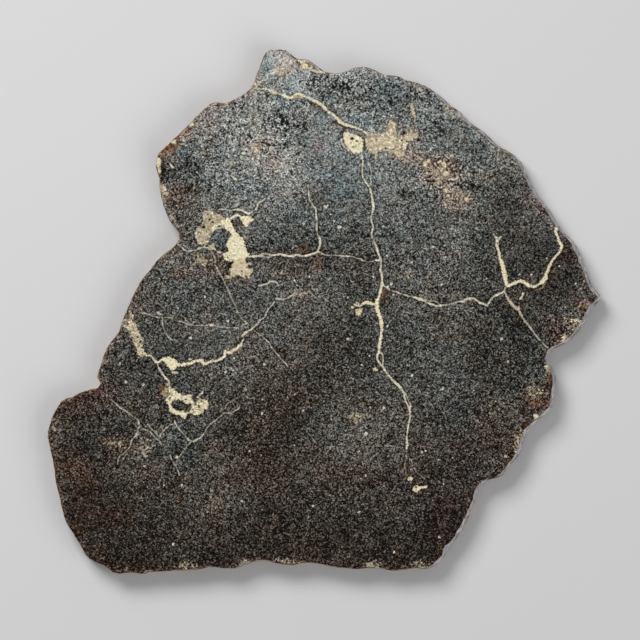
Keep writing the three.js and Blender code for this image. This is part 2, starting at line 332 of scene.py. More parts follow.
    "right vein, tip left": (0.1, 0.85, [(493.5, 234, 1.2), (494.5, 235.5, 1.5), (496.5, 238, 2)]),
    "right vein, tip right": (0.1, 0.8, [(501, 237, 1.4), (499, 239, 2)]),
    "right vein, upper": (0.15, 0.94, [
        (497, 240, 3), (497, 243, 3.5), (497, 246, 2.6), (498, 249, 2.2), (499, 252), (499.5, 256),
        (500.3, 259.5, 3.1), (502, 264, 4.4), (503.2, 268, 4), (504.3, 272.5, 4.2), (505, 276.5, 4.4),
        (505.5, 281, 4), (507.5, 285.5, 3.5), (511, 285, 3.1), (515, 283), (519, 281.3, 2.9), (523, 281.5),
        (526, 283.5), (529, 285.5, 3.1), (532, 286.5), (536, 286, 2.1), (540, 283.5, 2.6), (543, 281, 4.4),
        (545.5, 278, 4), (546.5, 274, 3.3), (548, 270, 2.9), (549.5, 266, 3.1), (551, 262.5, 2.2),
        (553.5, 259), (556.5, 255.5, 2), (559, 252.5), (561, 249.5, 2.6), (561.5, 246, 3.1), (560.5, 243.5),
        (558.5, 240), (557.5, 236, 2.3), (555.5, 232, 2.6), (556, 229, 3.1), (558, 226, 3.5), (559.5, 224)]),
    "right vein, lower strand": (0.7, 0.45, [(536, 290, 1.5), (540, 289), (543, 286.5), (545.5, 283)]),
    "right vein, down": (0.5, 0.82, [
        (505.5, 287.5, 1.5), (504.5, 291.5), (506, 295, 1.8), (508, 299, 2.2), (511, 303, 3), (514, 306),
        (517, 308.5), (520, 312, 2.2), (521.5, 316), (524, 320, 1.9), (527, 323.5), (530, 327), (532, 330),
        (535, 334, 1.6), (538, 338), (541, 341, 1.5), (544, 344.5), (547, 347), (550, 349.5, 1.1)]),
    "right vein, spur": (0.2, 0.75, [(518, 309.5, 2.2), (519.5, 306.5, 1.8)]),
    "dab inside the right vein": (0.2, 0.9, [(523, 293.5, 2), (522, 296), (520.5, 298.5)]),
    "link, left part": (0.1, 0.88, [
        (383, 285, 1.7), (386, 287), (388.5, 288.5), (390.5, 290.5, 1.3), (394, 291.5), (397, 292),
        (400, 293.5), (404, 294.7, 1.5), (408, 295.8), (412, 296.7), (415, 297.5, 2.2), (418, 298.7, 2.6),
        (421, 299.3, 3.3), (424, 300.5, 1.7), (426, 302), (429, 303.5), (433, 304.7), (437, 306),
        (441, 305.5, 2.4)]),
    "link, upper strand": (0.2, 0.8, [(424, 300, 1.1), (430, 300.5), (434, 301), (437, 302), (439, 304)]),
    "link, right part": (0.1, 0.84, [
        (441, 305.5, 1.8), (445, 305, 1.3), (449, 304.5), (452, 303.5), (456, 302.5, 1.8), (460, 301.5),
        (463, 301.5), (465, 299.5, 2), (468, 298.7), (471, 298.3), (474, 298.7), (477, 300.5), (479.5, 302.5),
        (482, 303.5, 2.2), (485, 304.5), (487, 305.5, 1.8), (488.5, 303), (490, 301), (491.5, 298.7),
        (494, 296.5), (497, 295, 2.4), (500, 293.5, 2.2), (503, 292, 2)]),
    "link, lower strand": (0.7, 0.7, [(452, 304.5, 1.2), (457, 305), (461, 306), (466, 307.5), (472, 308)]),
    "spur left of the middle vein": (0.12, 0.86, [
        (354, 304.5, 1.4), (357, 305.5, 1.9), (360, 306), (363, 304, 2.4), (366, 302.5, 3.2), (370, 303),
        (373, 304.3, 2.6), (376, 303.5)]),
    "fork of the spur": (0.15, 0.85, [(356.5, 302, 1.4), (359, 304, 1.6)]),
    "cloud, short strand": (0.25, 0.85, [(399.5, 156.5, 2.6), (402, 153.5), (405, 150.5, 1.6)]),
    "cloud, upright strand": (0.2, 1, [
        (404, 151, 2.2), (405.5, 146), (407, 141), (409, 136), (411, 131), (412, 127.5, 1.4)]),
    "cloud, right strand": (0.4, 0.8, [(418, 134.5, 1.7), (415, 137, 2.3), (411, 137, 1.9), (408, 140, 1.4)]),
    "cloud, low strand": (0.6, 0.5, [
        (400, 157.5, 1.8), (404, 158.5, 1.4), (408, 161), (412, 163.5), (417, 164.5)]),
    "cloud, second low strand": (0.75, 0.45, [(404, 154, 1.6), (408, 156.5), (412, 160), (418, 164)]),
    "pale streak over the cloud": (0.4, 0.7, [
        (411.8, 104, 2), (412, 107, 3.6), (413, 111, 3.8), (414, 115, 3.2), (415, 118, 2),
        (414.5, 122, 1.2)]),
    "dab under the cloud": (0.15, 0.85, [
        (375, 151.5, 3.6), (376.5, 154, 3.2), (375.5, 157.5, 2), (375.7, 160, 1.2)]),
    "tail, short line": (0.35, 0.95, [(449, 179.5, 1.8), (455, 179.5), (458, 177.5)]),
    "tail, upper arc": (0.2, 1, [(438.5, 162.5, 2.3), (441, 161.5), (443.5, 163, 3.4), (445, 166, 3.9)]),
    "peak, inner line": (0.1, 0.72, [
        (276, 69, 1.8), (275, 72), (271.5, 73.2), (268.5, 74.2), (267.5, 77), (266.3, 79.5), (262.5, 80.8),
        (259.5, 82.3), (257.3, 85), (256, 88)]),
    "peak, cream under the rim": (0.1, 0.9, [
        (299, 60.5, 1.8), (302, 63, 2), (305, 65.5, 3), (308, 67.6, 3.4), (311, 68.5, 2)]),
    "peak, rim seam": (0.2, 0.8, [(303, 67, 1.6), (305, 69.5)]),
    "peak, rim below": (0.3, 0.95, [
        (312, 70, 1.9), (316, 71.5, 2.4), (320, 72, 1.9), (325, 72.5), (330, 73.5, 2.4), (334, 73.8, 1.7)]),
    "below the rim": (0.35, 0.7, [(330.5, 76, 1.8), (329.8, 80)]),
    "upper left streak": (0.25, 0.3, [(202, 138.5, 1.4), (205, 136), (208.5, 133), (210, 130), (213, 127)]),
    "white streak by the left rim": (0.0, 0.9, [(170, 164, 1.6), (172, 166.5, 2), (174, 167.5, 1.4)]),
    "pale streak inside": (0.2, 0.55, [
        (232.5, 159.5, 2.1), (231.5, 163.5, 2.3), (229.5, 168, 1.6), (227, 169.5)]),
    "yellow streak inside": (0.0, 0.8, [(232, 176.3, 1.8), (234, 178), (237, 180)]),
    "yellow streak, end": (0.05, 0.7, [(239, 179.6, 1.6), (241.5, 179)]),
    "upper right dash": (0.35, 0.5, [(376, 100.5, 1.8), (380, 98.5)]),
    "faint spots inside, upper": (0.3, 0.28, [
        (198, 143.5, 2.3), (200.5, 143), (201.5, 147, 1.8), (202, 149)]),
    "faint spots inside, middle": (0.1, 0.4, [(202, 152.5, 3.4), (204.5, 154)]),
    "faint spots inside, right": (0.1, 0.45, [(293, 148.5, 2), (298, 147.5, 2.6), (302, 146.5)]),
    "faint spots inside, low": (0.1, 0.5, [(284, 195, 2.4), (287, 192.5, 3.4), (289.5, 191, 2.4)]),
    "left edge thread, start": (0.5, 0.7, [(177.5, 244.3, 1.4), (180, 245.8), (182, 247.5)]),
}

# Patches of pale mineral: tone, strength, outline and the outline of the stone inside, where there is any
PATCHES = {
    "upper ring": (0.0, 1.0, [
        (343.5, 134), (344.5, 132.3), (347, 132), (350, 133), (353, 133.5), (356, 134.5), (360, 136.5),
        (362.5, 137.5), (363.5, 140), (363, 144), (363, 148), (362, 152), (359.5, 153.5), (356, 152.5),
        (353, 153.5), (350.5, 150.5), (347.5, 147.5), (345, 144.5), (344, 140), (343.3, 137)], []),
    "left band": (0.72, 0.78, [
        (203, 212.5), (204.6, 209.8), (207.5, 211), (212, 211.8), (216, 212.8), (219, 214), (221.5, 215.2),
        (223, 217.8), (226, 218), (229, 219), (226.5, 223.5), (224.8, 226.5), (221, 228.6), (215.5, 229.2),
        (213.2, 231), (212, 232.5), (210, 235), (208.7, 238), (208, 241), (206.5, 244), (203, 245),
        (200, 244.3), (198, 242.5), (197.3, 239), (195.8, 236), (195.5, 232.5), (196.7, 229.5), (199, 227),
        (201, 225), (203.7, 223), (203.6, 219), (203.2, 215)], []),
    "patch under the left band": (0.4, 0.75, [(208, 244.5), (214.5, 244), (215, 248.5), (208, 249)], []),
    "left patch, upper": (-0.1, 1.0, [
        (230, 218), (231.5, 223.5), (233.5, 227.5), (236, 231.5), (238, 233.8), (240, 235.6), (242.4, 237.6),
        (244.2, 241), (245, 245), (246, 249), (247.5, 252), (249.8, 254), (246.5, 257.6), (245, 260.5),
        (240, 261), (236, 260.8), (230, 261), (226, 260.6), (223.4, 257.8), (222.8, 253.6), (226, 252.8),
        (228.8, 251.5), (228, 248), (226.8, 244), (228.5, 240), (230.8, 236.8), (231.8, 234), (229, 231.3),
        (226, 229), (223.8, 226), (223.2, 221), (226, 217.8)], []),
    "left patch, lower": (0.6, 0.9, [
        (237, 256), (244.5, 256), (245.8, 261), (246.8, 263), (249, 262.6), (252, 263.4), (253.8, 265.5),
        (250.5, 265), (247.6, 265.6), (247, 267.4), (249, 268.6), (252.5, 268), (253.6, 270), (252, 273),
        (250.5, 275), (252.5, 278.5), (249, 278.4), (246, 276.5), (243.5, 278), (240, 275.8), (237.5, 275.6),
        (235, 277), (232, 277.6), (229, 279.3), (226.3, 278.6), (225.6, 275.8), (228, 275.2), (231, 274),
        (229.6, 270), (230.4, 267.5), (232, 264.5), (234, 261.5), (235.6, 258)], []),
    "left patch, small": (0.1, 0.92, [
        (239.5, 217), (244, 216), (248.5, 215.6), (251.3, 217), (252.6, 218.8), (254.5, 220.3), (251, 222),
        (248.5, 223.8), (247.2, 227.2), (245.3, 226.8), (243.2, 223.8), (240.6, 220.8)], []),
    "left edge patch": (0.6, 0.88, [
        (128, 309.5), (131, 311), (134, 316), (136, 322), (137, 327), (140, 332), (142, 337), (143.5, 341),
        (143, 346), (144.5, 350), (147, 354), (146.5, 356.5), (142, 356.8), (138.5, 355.5), (136.5, 351),
        (135, 346), (133, 340), (130.5, 335), (127, 331), (124, 327), (122, 322.5), (124.5, 319.5),
        (128, 318.5), (129, 314)], []),
    "left vein patch": (0.05, 1.0, [
        (161, 359.5), (164, 357), (169, 356.5), (172, 358.5), (176, 359), (177.5, 362), (178.5, 363.5),
        (177, 366.5), (175.5, 369), (172.5, 370.5), (169.5, 369), (167.5, 366), (166, 362.5),
        (163, 361.5)], []),
    "lower ring": (0.15, 0.93, [
        (166.6, 383.5), (168.5, 382), (170, 385.5), (173, 388), (176, 391), (178.5, 393), (181, 394),
        (184, 395.5), (188, 395), (191, 394.8), (191.6, 398), (193.2, 400.5), (194.2, 403), (195.2, 406),
        (197, 404), (198, 402), (197.5, 399.6), (199.5, 398.6), (202, 399), (204.5, 399), (207.5, 400.5),
        (208.8, 403), (208.5, 407), (207, 409.5), (204, 410), (203, 413), (200, 414), (197, 415.6),
        (193, 414.5), (190, 413), (187.5, 413.5), (186.5, 415.5), (185.5, 418), (184, 419.5), (181.5, 417.5),
        (179, 415), (175.5, 414.5), (172, 413), (169.5, 411.5), (169, 408), (168, 404), (166, 401),
        (164.5, 398.5), (167, 397), (168, 394), (168, 390), (167, 386.5)], [
            (174, 400.2), (178, 399.6), (182.8, 400.4), (184, 402.5), (186, 404), (188, 404.5), (190, 402.8),
            (191.2, 404.5), (192, 407), (191, 409.5), (189, 411), (186.5, 412.2), (184.2, 412.6),
            (183.4, 410), (181, 411), (178, 411), (175, 409.6), (172, 407.6), (171, 404.5), (172, 401.6)]),
    "orange end of the lower ring": (0.8, 0.74, [
        (161, 393.5), (162.5, 390.5), (164, 387.5), (166.5, 385.5), (168, 388), (168.5, 392), (168, 396),
        (165.5, 398), (163, 396.5)], []),
    "patch right of the lower ring": (0.3, 0.85, [
        (196, 402), (198.5, 399), (203, 399.5), (202, 402), (199, 405), (197, 406)], []),
    "spur's lower patch": (0.4, 0.85, [
        (355.5, 308.5), (359, 308.5), (363.5, 308), (362.5, 311), (361, 314), (358.5, 316), (356, 314.5),
        (355, 311.5)], []),
    "blotch under the left edge thread": (0.5, 0.45, [
        (194.5, 252), (199, 253), (203, 257), (207.5, 260.5), (205, 263), (202, 261), (199.5, 262.5),
        (196.5, 259)], []),
    "tan cloud": (0.55, 0.82, [
        (364.5, 131.5), (368, 133.5), (373, 135), (379, 134.5), (384, 132.5), (387.5, 129), (388, 124),
        (390, 120), (394, 121), (397, 125), (396, 131), (398, 135), (402.5, 136), (407, 133.5), (410, 131),
        (414, 132), (418, 133), (418, 137), (416.5, 140), (412.5, 139.5), (409, 140.5), (407, 144.5),
        (404, 148), (403.5, 151.5), (401, 157), (397, 156), (392.5, 153), (388, 150.5), (384, 151),
        (379.5, 151), (376, 154), (371, 153), (366.5, 150.5), (365.5, 145), (365, 140), (365.5, 136)], []),
    "cream in the cloud": (0.05, 0.85, [
        (381, 144.5), (385, 142), (390, 139.5), (394, 141), (399, 142.5), (399, 146.5), (393, 148.5),
        (388, 147.5), (382, 148.5)], []),
    "cream by the ring": (0.05, 0.9, [
        (364.6, 132.5), (369, 134.5), (372, 137), (370, 140.5), (366.5, 139.5)], []),
    "patch at the middle vein's end": (0.1, 0.95, [
        (413, 490.5), (412.8, 488.5), (414, 486.5), (416.5, 485.5), (419, 486.3), (422, 486.3), (424.5, 486),
        (426.5, 485), (427.8, 486), (427, 488), (424.5, 488.7), (421.5, 489), (419, 490.5), (416.5, 492),
        (414, 491.5)], []),
}

# Veins that are seen over the patches
OVER_PATCHES = [
    "cream top of the left band", "left band, outer line", "left band, inner line", "left band, upper line",
    "left band, low line", "cloud, upright strand", "cloud, right strand", "cloud, short strand",
]

# Pale mineral dots: x, y, width and height
PALE_DOTS = [
    (410.5, 478.7, 5.5, 4.5), (375.5, 369.5, 4.5, 4), (352.5, 307.5, 3, 3), (269.5, 281.5, 2.5, 2.5),
    (203, 264, 2.5, 2.5), (195, 258, 2, 2), (238, 337, 2.2, 2), (175.5, 377, 2, 2), (177, 457, 3, 4),
    (536, 415.7, 5.5, 5.5), (535, 421.5, 4, 3), (539.5, 391.5, 6, 4.5), (529.5, 388, 4, 3),
    (547, 366.5, 6, 3.4), (518, 439.5, 4.5, 3), (516.5, 451, 5.5, 4.5), (506, 456, 3, 2.6),
    (521, 431.5, 3, 4), (520.5, 443, 4, 4), (574, 320.5, 11, 3.6), (575.5, 323.5, 5, 4), (564, 337.5, 5, 4),
    (562.5, 341.5, 3.5, 4), (158.5, 162, 5.5, 10), (159.3, 170.5, 2.6, 6), (305, 66, 9, 5),
    (302.5, 62, 7, 3.6), (312, 65.5, 5, 3), (319, 70.7, 5, 1.8), (268, 54, 2.5, 3.4), (280.5, 74.5, 5, 1.6),
    (257, 145, 6, 4), (256, 151, 4, 6), (163.5, 188, 5, 6), (166, 193.5, 4.5, 5), (191.5, 124, 5, 5),
    (214, 103.3, 6, 3), (224, 103.4, 7, 2), (174, 141.5, 6, 4), (425, 164.5, 5, 6), (429, 161.5, 5, 4),
    (442, 170, 3, 5), (446, 173.5, 6, 5), (445.5, 190.5, 4.5, 5), (448, 195.5, 3, 3), (438, 184, 2.6, 4.5),
    (466.5, 199.5, 4.2, 4.5), (445.5, 204.5, 2.4, 4.5), (461, 167, 3, 3), (421, 158.8, 2.6, 2.6),
    (427, 173, 2.4, 5), (452, 156, 2.4, 3), (255, 83.5, 2.4, 8),
]

# White and grey crystals: x, y and size
WHITE_GRAINS = [
    (303.5, 223.5, 3.3), (339.5, 227, 5), (334, 221.3, 2.5), (345.5, 221.3, 2), (331, 214.5, 2.7),
    (325.5, 207, 4), (327.5, 205.5, 2.5), (281.5, 272.5, 2.7), (309.5, 277, 2), (294.5, 280.5, 3),
    (373, 277, 2.5), (354.5, 273.5, 1.8), (348, 297.5, 2.3), (391, 284, 3.8), (388, 287, 3),
    (393.5, 294.3, 2.5), (411.5, 262.3, 3.5), (387, 256, 2.5), (392, 253, 2), (383.5, 226.5, 2.5),
    (441.5, 284.5, 2.7), (433.5, 247, 3), (444.5, 245.5, 2.5), (445.5, 257, 2), (486.5, 278.5, 2.5),
    (559.5, 266, 2.7), (531.5, 274.5, 2.7), (519.5, 274.5, 2), (501.5, 339, 4), (508, 361, 2.5),
    (190.5, 337.8, 3.3), (126, 382, 3), (143.5, 384.7, 3), (225.5, 372, 3), (234, 358, 2), (231.5, 368.5, 3),
    (233.3, 370.5, 2.6), (205, 296.5, 2.5), (228, 321, 2.4), (264, 364.5, 2.5), (262.5, 399.5, 2.5),
    (262, 413.5, 3), (249.5, 451, 3), (261, 455, 2), (294.5, 445.5, 2), (295, 394, 2.5), (287, 397, 2),
    (303, 410.5, 2.5), (369.5, 356, 2.4), (361.5, 365, 2.3), (412, 375.5, 3.5), (443, 389, 3),
    (387.5, 326, 2.5), (348, 339, 3), (384, 408, 3.5), (370.5, 407.5, 2.5), (366, 434, 4.5),
    (358.5, 451.5, 2.5), (422, 452.5, 3), (425.5, 451, 2), (438.5, 459.5, 2), (452.5, 457.5, 2.5),
    (365.5, 475.5, 2.8), (361.5, 478.5, 2), (443.5, 484, 2), (164, 485, 2.5), (182, 485, 3), (145, 466, 3),
    (359, 512, 3), (439, 537, 3), (394, 552, 3), (173, 544, 3), (313, 506, 2.5), (242, 501, 3),
    (176.5, 205, 2), (575.5, 283.5, 1.8), (546.5, 258, 1.8), (565.5, 307.5, 1.8), (565, 318.5, 2),
    (311, 82.5, 2.6), (309, 105, 2.6), (508, 361.5, 2.6), (171, 165, 2), (173, 167.5, 2), (212.5, 184.5, 2.4),
    (216, 187, 1.8), (233, 177.5, 2), (235.5, 179, 2.2), (202.5, 157, 1.8), (270, 132.5, 3), (285, 127, 2.4),
    (201.5, 146, 2), (243.5, 153, 4), (207, 157, 1.6),
]

# Black grains and small pits: x, y and size
BLACK_GRAINS = [
    (269, 118.5, 2.5), (283, 121, 3), (282, 118.5, 1.5), (282, 115, 3), (287, 123.5, 2.5), (285, 128, 2),
    (286, 131, 2.5), (275, 122, 2), (272, 123.5, 1.5), (278.5, 123.5, 2), (298, 126, 3), (304, 126, 2.2),
    (267, 130, 2), (277, 131.5, 2), (285.5, 135.5, 1.5), (302.5, 136.5, 1.5), (263, 142.5, 2.7),
    (269.5, 145, 3), (305, 146, 2.5), (338, 157, 1.5), (347, 163.5, 2.5), (317.5, 160, 2), (229, 122.5, 2.6),
    (234, 122.5, 2.8), (457, 142, 2.4), (403, 196, 2.2), (410, 193, 2.2), (290.5, 100, 2.6),
    (252.7, 154, 1.8), (343.5, 83.5, 3.4), (333, 87.5, 3), (336, 86, 2.4), (310, 89.5, 2), (318, 86, 2),
    (315, 73.5, 1.8), (326.5, 76, 2), (348.5, 89.5, 1.8), (340.5, 86.5, 2.6), (206.5, 156.5, 2),
    (236.5, 126.5, 2.2), (232.5, 108.5, 2.2), (240, 105.5, 1.6), (242, 109, 1.8), (248, 183.5, 1.8),
    (197, 178.5, 2.4), (190, 178, 1.8), (200, 188, 1.8), (206, 187.5, 1.8), (232, 139.5, 2), (246, 139.5, 2),
    (217, 147, 1.6), (191.5, 145.5, 1.8), (195, 165, 2.6), (187.5, 163.5, 2.2), (237.5, 188.5, 2),
    (196.5, 174.5, 1.8), (550, 395, 3), (522.5, 432.5, 3), (513, 453, 2.6), (585.5, 309.8, 2.4),
    (578, 323.5, 1.8), (576.5, 326.5, 1.6), (552.5, 332.5, 1.8), (574.5, 333, 1.8), (485.5, 437.5, 2.2),
    (494.5, 443, 2), (527, 402.5, 2), (538, 409.5, 2.4), (506, 367.5, 2.2), (517, 386, 2.6), (242, 271, 1.6),
    (404, 132.5, 3.6), (418.5, 139.5, 3), (435, 159, 2.2), (429, 171, 2.2), (458, 184.5, 3.4),
    (473, 185, 3.4), (421, 172, 1.8), (447, 170, 1.8), (454.5, 174, 1.6), (435, 124, 2.6), (430, 136.5, 2),
    (430.5, 128, 2), (284, 88.5, 2), (277.5, 79, 2), (288, 73, 1.8), (297.5, 70.5, 1.8), (267.5, 70, 2.2),
    (311, 62.5, 1.8), (318, 70, 1.8), (327.5, 77, 2.6), (165, 169, 2.6), (163, 174, 2.2), (230, 264, 2.4),
    (226.5, 271, 2.2), (238.2, 277.4, 2.8), (234, 279, 1.8), (229.5, 256.6, 1.2), (402, 140.5, 2.4),
    (386, 148.5, 1.8), (393, 149, 1.6), (376, 139.5, 1.6), (232, 221.5, 2.2), (233.5, 225, 1.8),
    (236.6, 231.5, 1.8), (230.6, 267, 2.2), (227.4, 273.4, 2.6), (231, 263.4, 2.2), (249, 265.8, 1.8),
    (179, 392, 1.6), (176.5, 389.5, 1.4), (172.5, 385, 1.6), (194.6, 400.6, 2), (208.6, 401, 1.2),
    (188.6, 411.6, 1.6), (167, 149, 2), (176.5, 141.5, 1.4), (172, 190, 2.2), (178, 194, 2),
]

# Holes through the pale mineral to dark stone, with painted shade in them: x, y, width, height and depth in
# millimetres
PITS = [
    (352, 138.7, 3.5, 2.5, 0.3), (356.3, 141, 2.5, 1.2, 0.15), (353.5, 146.8, 3, 0.9, 0.06),
    (416.3, 487.5, 2, 1.2, 0.15), (138, 337, 2, 2, 0.1), (140.5, 342, 1.8, 2, 0.1),
    (198.5, 406.3, 1.8, 3, 0.06), (459, 303.3, 3, 1.5, 0.1), (497.5, 243, 1.4, 2, 0.05),
    (203.6, 227, 4.4, 2.8, 0.12), (209.8, 219.5, 1.8, 1.8, 0.1), (206.5, 231, 1.2, 2.2, 0.06),
    (200.8, 233.5, 1.4, 1.2, 0.06), (207.3, 214.5, 2, 1, 0.05), (219.5, 226.2, 4, 1.2, 0.08),
    (212.6, 222.2, 3, 1.7, 0.1), (217.6, 220, 1.4, 1.2, 0.06), (186.2, 399.6, 2.4, 1.2, 0.06),
    (170, 398.2, 1.4, 2.6, 0.06), (197.6, 409.4, 2.6, 1.3, 0.08), (193.2, 409.4, 1.5, 1.3, 0.06),
    (193.4, 412.3, 1.5, 1.3, 0.06), (201.4, 401.3, 1.9, 1.5, 0.1), (183.3, 418, 1.3, 1.3, 0.05),
    (207, 246, 2.6, 1.4, 0.1), (196.4, 241.3, 1.4, 4, 0.08), (196, 257.6, 2, 2, 0.1),
    (204.4, 412.4, 1.6, 2.6, 0.08),
]

# Dark lines beside the veins: width, strength and points
DARK_LINES = [
    (1.6, 0.75, [(310, 103.5), (316, 107), (322, 110.5), (325, 112.5)]),
    (1.4, 0.8, [(329, 120.5), (336, 122.5), (341, 124.8), (346, 127.6), (352, 129)]),
    (1.3, 0.7, [(330, 109.5), (333, 111.5), (336, 114)]),
    (1.3, 0.7, [(364.6, 138), (364.6, 144), (364.2, 150)]),
    (1.2, 0.6, [(343.6, 141), (345.6, 146.5), (349.5, 150.5), (352, 155)]),
    (1.6, 0.6, [(297, 62), (301, 65), (305, 69.5)]),
    (1.4, 0.6, [(302, 100.2), (310, 101.8)]),
    (1.8, 0.6, [(530, 289.5), (536, 288), (541, 286.5)]),
    (1.8, 0.5, [(551, 268), (549.5, 274), (548, 279)]),
    (1.6, 0.45, [(375.4, 293), (373.6, 299)]),
    (2.2, 0.4, [(385.5, 291), (384, 297), (383, 303)]),
    (1.4, 0.5, [(528, 325.5), (532, 331.5), (537, 337.5), (543, 342.5)]),
    (1.6, 0.55, [(161.6, 158), (162.4, 164), (161.8, 170), (162, 176)]),
    (1.6, 0.5, [(169, 363.5), (172, 371.5), (178, 367.8), (188, 366.6)]),
    (1.4, 0.5, [(171, 398), (172, 403), (173.5, 406)]),
    (2.0, 0.5, [(550.6, 376), (551, 384), (550.4, 392), (549.8, 399)]),
    (1.8, 0.5, [(513.5, 449), (511.8, 455), (512.6, 459)]),
]

# Brightness down the face, as displayed from 0 to 255: partly the stone's tone, partly painted light falling
# off from the top
BRIGHTNESS_AND_LIGHT_DOWN = [
    (50, 146), (90, 122), (140, 120), (180, 106), (215, 89), (260, 74), (300, 76), (340, 68), (380, 66),
    (430, 61), (470, 56), (500, 49), (540, 41), (575, 36),
]

# All the zones that follow are soft ovals: x, y, half width, half height and amount
# Brighter or darker stone, in the same steps of display brightness
BRIGHTNESS_ZONES = [
    (275, 66, 24, 22, 14), (340, 92, 26, 18, -12), (392, 92, 44, 18, -18), (300, 88, 16, 9, 8),
    (300, 132, 18, 16, -8), (262, 150, 30, 34, 12), (455, 140, 34, 26, -16), (182, 172, 20, 28, -24),
    (300, 180, 30, 16, 10), (505, 185, 30, 30, -22), (258, 222, 20, 24, 8), (500, 225, 28, 22, -14),
    (262, 262, 18, 10, 8), (320, 252, 34, 16, -7), (425, 258, 36, 26, 8), (545, 262, 34, 44, -18),
    (520, 310, 40, 26, -17), (295, 292, 24, 14, 8), (345, 335, 28, 26, -11), (215, 338, 44, 24, 11),
    (505, 350, 36, 40, -15), (135, 375, 24, 16, -6), (322, 375, 44, 20, -5), (420, 385, 30, 20, 5),
    (272, 425, 44, 44, -14), (365, 425, 48, 24, 12), (85, 430, 40, 44, -8), (150, 447, 32, 22, 8),
    (352, 462, 30, 16, 11), (455, 465, 30, 24, -10), (95, 500, 34, 34, -7), (214, 498, 22, 18, 14),
    (440, 535, 34, 30, -7), (535, 395, 16, 14, 4), (440, 118, 28, 18, -6), (400, 160, 26, 14, -6),
    (472, 152, 26, 22, -9), (322, 200, 26, 22, -9), (278, 247, 34, 8, -14), (320, 236, 26, 16, -4),
    (360, 242, 22, 20, -5), (482, 240, 26, 24, -5), (278, 284, 26, 16, 7), (358, 290, 18, 40, -7),
    (425, 285, 26, 24, 5), (482, 282, 22, 24, -6), (205, 318, 50, 18, 3), (408, 335, 26, 34, 4),
    (150, 366, 24, 18, -4), (215, 360, 26, 20, 4), (355, 358, 16, 24, -5), (482, 365, 22, 26, -8),
    (80, 405, 24, 16, -4), (398, 395, 26, 24, 4), (485, 402, 22, 20, -7), (95, 440, 34, 24, -5),
    (182, 440, 30, 20, 6), (245, 440, 20, 24, -4), (330, 440, 44, 18, 6), (392, 440, 18, 20, 5),
    (150, 482, 50, 18, 4), (340, 480, 44, 18, 4), (200, 520, 30, 20, 6), (280, 520, 26, 20, -4),
    (400, 522, 24, 24, -4), (452, 520, 24, 26, -6), (162, 168, 9, 24, -14), (280, 158, 24, 20, 5),
    (567, 272, 16, 36, -4), (442, 172, 26, 22, 8), (265, 62, 8, 14, -16), (290, 66, 14, 10, 12),
    (298, 86, 14, 9, 12), (330, 88, 18, 10, -3), (275, 252, 34, 3.5, -10), (282, 260, 38, 2.6, -15),
    (440, 184, 26, 14, -12), (514, 192, 15, 20, -13), (402, 221, 36, 16, 6), (318, 265, 30, 12, -4),
    (448, 258, 36, 17, 7), (295, 301, 24, 14, 8), (284, 337, 34, 16, 7), (457, 374, 22, 58, 6),
    (248, 377, 34, 16, 11), (347, 375, 15, 14, 11), (495, 357, 15, 17, 10), (513, 385, 13, 20, -8),
    (339, 421, 22, 14, -3), (154, 447, 14, 11, -15), (128, 463, 14, 12, -5), (107, 443, 12, 10, 8),
    (206, 464, 30, 15, 15), (382, 459, 60, 18, 8), (437, 445, 20, 14, 9), (204, 500, 42, 22, 7),
    (237, 492, 20, 13, 9), (398, 506, 40, 22, 7), (197, 540, 46, 16, 8), (389, 532, 30, 20, 5),
    (371, 106, 14, 12, -12), (197, 147, 18, 20, -11), (229, 130, 13, 12, 9), (391, 158, 24, 10, 8),
    (447, 152, 15, 10, 10), (181, 181, 16, 13, 12), (180, 207, 11, 13, -8), (301, 183, 18, 13, 8),
    (382, 181, 12, 15, 6), (260, 204, 38, 12, 11), (313, 206, 22, 12, 7), (469, 230, 36, 13, 10),
    (157, 297, 13, 12, -10), (366, 293, 11, 16, -6), (397, 350, 14, 13, -9), (421, 360, 14, 19, 9),
    (420, 323, 13, 10, -8), (207, 374, 12, 11, 8), (153, 398, 11, 11, 9), (204, 424, 14, 9, 9),
    (253, 422, 16, 13, 9), (517, 301, 14, 12, 6), (221, 241, 8, 9, -6), (236, 223, 6, 5, -16),
]
